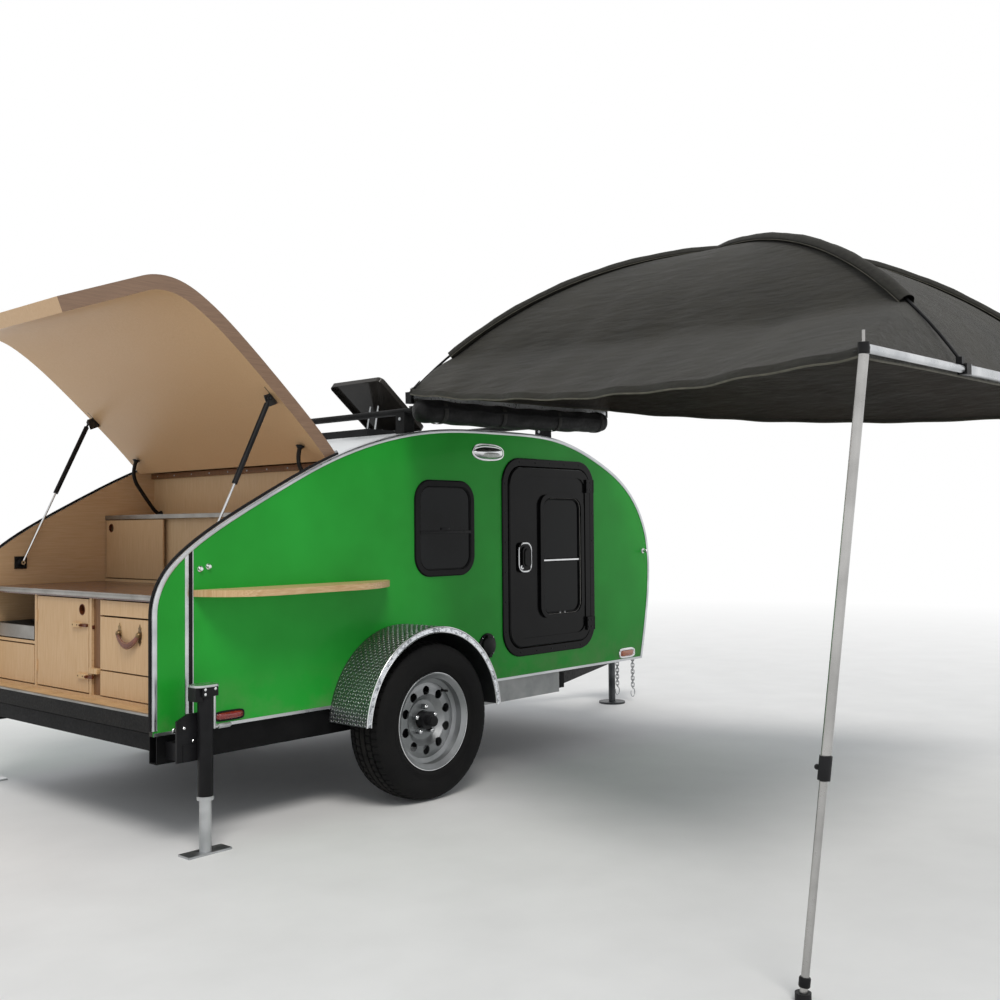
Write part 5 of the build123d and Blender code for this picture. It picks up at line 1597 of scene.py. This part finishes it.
def loom(sign, side):
    """Convoluted tube for the hatch's wires, from the bulkhead up to the hatch."""
    line = smooth_line(f"loom_line_{side}", [(x, sign * y, z) for x, y, z in LOOM_ROUTE])
    tube = Piece(f"loom_tube_{side}", loom_cover, None, "loom_rubber")
    # evenly spaced rings, two of each four drawn in
    path, ribs = [], []
    travelled, target = 0.0, 0.0
    for a, b in zip(line, line[1:]):
        run = (b - a).length
        while target <= travelled + run:
            path.append(a.lerp(b, (target - travelled) / run))
            ribs.append((1.0, 1.0, 0.9, 0.9)[len(path) % 4])
            target += LOOM_RINGS
        travelled += run
    count = len(path) - 1
    tube.sweep(path, circle(LOOM_RADIUS, 16), (0, 1, 0), scale=lambda s: ribs[round(s * count)])
    made = tube.done(60.0)
    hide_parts(f"loom_{side}")
    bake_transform(made)
    collar = Piece(f"loom_collar_{side}", black_satin, slot="black_plastic")
    collar.lathe(LOOM_COLLAR, (-0.2902, line[0].y, line[0].z), REARWARD, 28)
    collar.done()
    top = Piece(f"loom_top_{side}", black_satin, "hatch_panel", "black_plastic")
    inward = (line[-2] - line[-1]).normalized()
    top.lathe(LOOM_TOP, line[-1] - inward * 0.0008, inward, 28)
    top.done()


metal_edges()
finger_ring("ring_cupboard", "cupboard_door", (-0.094, 0.841), 0.02, FACE_X, -1.107)
finger_ring("ring_upper_right", "sliding_door_right", (-0.675, 1.172), 0.018, -0.545, -0.537)
finger_ring("ring_upper_left", "sliding_door_left", (0.683, 1.172), 0.018, -0.558, -0.55)
wooden_bolts()
leather_handle()
tracks()
hinge_batten()
for sign, side in SIDES:
    stud_foot(sign, side)
    loom(sign, side)


# Tongue: bolts, safety chains, latch lever and the dress of its jack

TONGUE_X = 2.64
CHAIN_X = 2.79
CHAIN_Y = 0.0625
UPWARD, DOWNWARD, FORWARD = (0, 0, 1), (0, 0, -1), (1, 0, 0)
HEX_HEAD = mm((-1, 0), (-1, 10.5), (5.5, 10.5), (7, 9), (7, 0))
DOME_HEAD = mm((-1, 0), (-1, 7.5), (3, 7), (4.5, 0))
CHAIN_BOLT = mm((-4, 0), (-4, 13), (0, 13), (0, 9.5), (18, 9.5), (18, 0))
LEVER = [(2.806, 0.47), (2.826, 0.488), (2.862, 0.4945), (2.905, 0.4925), (2.938, 0.484), (2.95, 0.472)]
LEVER_PIN = mm((-2, 0), (-2, 8.5), (3, 8), (4.5, 5.5), (5, 0))
GREASE_NIPPLE = mm((-2, 0), (-2, 5), (4, 5), (7, 3), (10, 3), (10, 0))
LINK_PITCH, LINK_LENGTH, LINK_WIDTH, LINK_WIRE = 0.0215, 0.033, 0.02, 0.003
HOOK_SIZE, HOOK_WIRE = 0.022, 0.0038
chain_steel = metal("chain_steel", "8f9193", "b9bbbd", (0.3, 0.48))
worn_steel = metal("worn_steel", "5d5f61", "7d7f80", (0.35, 0.55))


def chain(piece, top, count):
    """Links hung straight down, each turned a quarter from the one above."""
    straight = (LINK_LENGTH - LINK_WIDTH) / 2
    ring = [(a + math.copysign(straight, a), b) for b, a in circle(LINK_WIDTH / 2, 16)]
    for i in range(count):
        middle = Vector(top) - Vector((0, 0, LINK_PITCH * i))
        turn = math.radians(20 + 90 * (i % 2))
        aside = Vector((math.cos(turn), math.sin(turn), 0))
        facing = Vector((-math.sin(turn), math.cos(turn), 0))
        path = [middle + Vector((0, 0, a)) + aside * b for a, b in ring]
        piece.tube(path, LINK_WIRE, 7, [facing] * len(ring), closed=True)


def hook(piece, top):
    """Open hook below a chain, with a straight shank."""
    path = [Vector(top) + Vector((0, 0, 0.012)), Vector(top)]
    centre = Vector(top) - Vector((0, 0, HOOK_SIZE * 1.5))
    for k in range(15):
        angle = math.pi / 2 - math.radians(300) * k / 14
        path.append(centre + Vector((HOOK_SIZE * math.cos(angle), 0, HOOK_SIZE * 1.25 * math.sin(angle))))
    piece.tube(path, HOOK_WIRE, 9, (0, 1, 0), scale=lambda u: 1.0 - 0.35 * u)


def tongue_fittings():
    steel = Piece("tongue_bolts", zinc)
    links = Piece("safety_chains", chain_steel)
    coupler = Piece("coupler_fittings", chrome)
    # bolts through the jack's flange and the coupler's wings
    for k in range(3):
        angle = math.radians(90 + 120 * k)
        place = (TONGUE_X + 0.049 * math.cos(angle), 0.049 * math.sin(angle), 0.424)
        steel.lathe(HEX_HEAD, place, UPWARD, 6)
    for side in (-1, 1):
        for x, y in ((2.735, 0.094), (2.79, 0.072)):
            steel.lathe(HEX_HEAD, (x, side * y, 0.414), UPWARD, 6)
        # chain bolts under the bars
        steel.lathe(CHAIN_BOLT, (CHAIN_X, side * CHAIN_Y, 0.328), DOWNWARD, 6)
        chain(links, (CHAIN_X, side * CHAIN_Y, 0.302), 10)
        hook(links, (CHAIN_X, side * CHAIN_Y, 0.09))
    # latch lever: a bent strap over the nose, with its pivot
    coupler.sweep([Vector((x, 0, z)) for x, z in LEVER], rounded(0.03, 0.0045, 0.0018, 3))
    for sign in (-1, 1):
        coupler.lathe(LEVER_PIN, (2.905, sign * 0.0105, 0.478), (0, sign, 0), 16)
    steel.done(smooth=25)
    links.done()
    coupler.done()


def tongue_jack_dress():
    """Crank grip, head seam, clamp ring and grease nipple of the tongue jack."""
    grip = Piece("tongue_jack_grip", rubber)
    profile = mm((-2, 0), (-2, 13.5))
    for k in range(9):
        along = 0.004 + k * 0.0085
        profile += [(along, 0.016), (along + 0.0045, 0.016), (along + 0.006, 0.0145)]
    profile += mm((84, 13.5), (84, 0))
    grip.lathe(profile, (TONGUE_X, 0.147, 0.646), (0, 1, 0), 20)
    grip.done()
    bands = Piece("tongue_jack_bands", worn_steel)
    for z, radius in ((0.437, 0.0335), (0.783, 0.032)):
        band = [(-0.007, 0.0275), (-0.007, radius), (0.007, radius), (0.007, 0.0275)]
        bands.lathe(band, (TONGUE_X, 0, z), UPWARD, 28)
    bands.lathe(GREASE_NIPPLE, (TONGUE_X + 0.038, 0, 0.806), FORWARD, 12)
    bands.done()


tongue_fittings()
tongue_jack_dress()


# Rear jacks: bolts, gear head screws, collar and crank sleeve

JACK_X, JACK_Y = -1.078, 0.885
JACK_BOLT = mm((-1, 0), (-1, 6), (3.5, 6), (4.8, 4.8), (4.8, 0))
GEAR_SCREW = mm((-1, 0), (-1, 5.8), (1.4, 5.2), (2.6, 0))
CRANK_NUT = mm((0, 0), (0, 11.5), (8, 11.5), (9.5, 9.5), (9.5, 0))
LEG_COLLAR = mm((0, 27.5), (0, 30.5), (14, 30.5), (14, 27.5))
CRANK_SLEEVE = mm((0, 6.2), (0, 9.2), (3, 9.8), (47, 9.8), (50, 9.2), (50, 6.2))

for sign, side in SIDES:
    bolts = Piece(f"jack_bolts_{side}", chrome, slot="zinc_steel")
    for x, z in ((-1.15, 0.452), (-1.112, 0.402)):
        bolts.lathe(JACK_BOLT, beside(sign, x, JACK_Y - 0.0255, z), (0, sign, 0), 6)
    for x, z in ((-1.1, 0.588), (-1.1, 0.571), (-1.058, 0.588)):
        bolts.lathe(GEAR_SCREW, beside(sign, x, JACK_Y + 0.034, z), (0, sign, 0), 12)
    bolts.lathe(CRANK_NUT, beside(sign, -1.0465, JACK_Y, 0.58), FORWARD, 6)
    bolts.done(smooth=25)
    grip = Piece(f"jack_grip_{side}", zinc, slot="zinc_steel")
    grip.lathe(LEG_COLLAR, beside(sign, JACK_X, JACK_Y, 0.1905), UPWARD, 32)
    grip.lathe(CRANK_SLEEVE, beside(sign, -1.024, JACK_Y, 0.446), FORWARD, 20)
    grip.done()


# Roof: bar ends and clamps, and the vent

BAR_Z = 1.687


def roof_fittings():
    caps = Piece("bar_caps", rubber, slot="black_plastic")
    slots = Piece("bar_slots", rubber, slot="black_plastic")
    bright = Piece("bar_bolts", zinc)
    for x in (0.11, 1.1):
        for sign in (-1, 1):
            outline = rounded(0.0604, 0.0284, 0.0141, 8, (-sign * x, BAR_Z))
            caps.plate(outline, 0.0055, 0.0018, (0, sign * 0.786, 0), (-sign, 0, 0))
            # clamp bolts on each foot
            for out in (-1, 1):
                bright.lathe(DOME_HEAD, (x + out * 0.032, sign * 0.69, 1.652), (out, 0, 0), 14)
        # rubber strip along the top
        strip = [Vector((x, y, BAR_Z + 0.0132)) for y in (-0.778, 0.778)]
        slots.sweep(strip, rounded(0.016, 0.0018, 0.0008, 2))
    for made in (caps, slots, bright):
        made.done()


VENT_X = 0.52
LID_HINGE = Vector((0.716, 0.0, 1.662))
LID_TURN = math.radians(38)
RIB_SECTION = mm((-8, -1), (8, -1), (6, 1.8), (-6, 1.8))
CURB_SCREW = mm((-1, 0), (-1, 5.2), (1.2, 4.6), (2.2, 0))
VENT_KNOB = mm((0, 0), (0, 17), (10, 18.5), (18, 16.5), (21, 11), (22, 0))


def vent_dress():
    """Ribs of the lid, its lift arm, the curb's screws and the knob on its bar."""
    across = Vector((-math.cos(LID_TURN), 0, math.sin(LID_TURN)))
    above = Vector((math.sin(LID_TURN), 0, math.cos(LID_TURN)))

    def on_lid(along, y, up):
        return LID_HINGE + across * along + above * up + Vector((0, y, 0))

    ribs = Piece("vent_lid_ribs", smoked, "vent_cover", "smoked_acrylic")
    for y in (-0.096, -0.032, 0.032, 0.096):
        shares = [k / 8 for k in range(9)]
        path = [on_lid(0.045 + 0.3 * u, y, 0.0257 + 0.0006 * math.sin(math.pi * u)) for u in shares]
        ribs.sweep(path, RIB_SECTION, above)
    lift = Piece("vent_lift", zinc, "vent_cover", "zinc_steel")
    base = Vector((VENT_X, 0.0, 1.64))
    for y in (-0.03, 0.03):
        ends = [base + Vector((0.0, y, 0.0)), on_lid(0.215, y, 0.006)]
        lift.sweep(ends, rounded(0.012, 0.003, 0.0012, 2), (1, 0, 0.2))
    lift.tube([base + Vector((0, y, 0)) for y in (-0.036, 0.036)], 0.003, 8)
    screws = Piece("vent_screws", zinc, slot="zinc_steel")
    for k in range(5):
        offset = -0.168 + 0.084 * k
        for x, y in ((VENT_X + offset, -0.181), (VENT_X + offset, 0.181), (0.339, offset), (0.701, offset)):
            screws.lathe(CURB_SCREW, (x, y, 1.656), UPWARD, 10)
    knob = Piece("vent_knob", black_satin, slot="black_plastic")
    knob.lathe(VENT_KNOB, (VENT_X, 0.0, 1.632), DOWNWARD, 22)
    knob.tube([Vector((x, 0.0, 1.64)) for x in (0.346, 0.694)], 0.004, 8, (0, 1, 0))
    for made in (ribs, lift, screws, knob):
        made.done()


roof_fittings()
vent_dress()


# Awning: foot rings and the collars' lock screws

FOOT_RING = mm((-12, 0), (-12, 13), (-9, 14.5), (9, 14.5), (12, 13), (12, 0))
LOCK_SCREW = mm((0, 0), (0, 7.5), (9, 7), (12, 4.5), (12, 0))
COLLAR_Z = 0.56


def awning_fittings():
    black = Piece("awning_clamps", black_satin, slot="black_plastic")
    for name in ("awning_pole_rear", "awning_pole_front"):
        # the pole's lower and upper end, read from its mesh
        corners = [v.co for v in nodes[name].data.vertices]
        top = max(c.z for c in corners)
        low = [c for c in corners if c.z < 0.03]
        high = [c for c in corners if c.z > top - 0.01]
        foot = sum(low, Vector()) / len(low)
        head = sum(high, Vector()) / len(high) - Vector((0, 0, 0.062))
        black.lathe(FOOT_RING, foot.lerp(head, 0.02), head - foot, 24)
        collar = foot.lerp(head, (COLLAR_Z - foot.z) / (head.z - foot.z))
        black.lathe(LOCK_SCREW, collar + Vector((0, 0.014, 0)), (0, 1, 0), 14)
    black.done()


awning_fittings()


# Studio: pale floor that fades into a white backdrop, soft sky and one soft sun

FLOOR_REACH = 60.0
FADE = (4.5, 13.0)


def seen_directly(tree):
    """1 for rays from the camera, and for those mirrored or let through to it."""
    path = add_node(tree, "LightPath")
    seen = 0.0
    for ray in ("Is Camera Ray", "Is Glossy Ray", "Is Transmission Ray"):
        seen = add_node(tree, "Math", {"operation": "MAXIMUM"}, i0=path.outputs[ray], i1=seen).outputs[0]
    return seen


def stage_floor():
    mesh = bpy.data.meshes.new("floor")
    corners = [(-1, -1), (1, -1), (1, 1), (-1, 1)]
    mesh.from_pydata([(FLOOR_REACH * a, FLOOR_REACH * b, 0) for a, b in corners], [], [(0, 1, 2, 3)])
    floor = bpy.data.objects.new("floor", mesh)
    bpy.context.scene.collection.objects.link(floor)
    coat = Finish("floor_coat")
    fade = coat.ramp(coat.length(coat.axis("X"), coat.axis("Y")), *FADE)
    speck = coat.noise(3.0, 4.0)
    coat.bump(coat.noise(30.0, 3.0), 0.0001)
    coat.set(coat.shade(speck, "e2e2e1", "e8e8e7"), coat.spread(speck, 0.75, 0.85))
    glow = coat.node("Emission", Color=(1, 1, 1, 1), Strength=1.0)
    share = coat.times(seen_directly(coat.tree), fade)
    blend = coat.node("MixShader", i0=share, i1=coat.shader.outputs[0], i2=glow.outputs[0])
    coat.tree.links.new(blend.outputs[0], coat.tree.nodes["Material Output"].inputs["Surface"])
    mesh.materials.append(coat.material)


def stage_light():
    world = bpy.data.worlds.new("studio")
    world.use_nodes = True
    tree = world.node_tree
    sky = add_node(tree, "Background", Color=(0.93, 0.96, 1.0, 1.0), Strength=0.62)
    white = add_node(tree, "Background", Color=(1, 1, 1, 1), Strength=1.0)
    either = add_node(tree, "MixShader", i0=seen_directly(tree), i1=sky.outputs[0], i2=white.outputs[0])
    tree.links.new(either.outputs[0], tree.nodes["World Output"].inputs["Surface"])
    bpy.context.scene.world = world

    sun = bpy.data.lights.new("key", "SUN")
    sun.energy = 1.5
    sun.angle = math.radians(24)
    sun.color = (1.0, 0.97, 0.93)
    key = bpy.data.objects.new("key", sun)
    key.rotation_euler = Vector((0.55, 0.75, -1.25)).to_track_quat("-Z", "Y").to_euler()
    bpy.context.scene.collection.objects.link(key)


stage_floor()
stage_light()
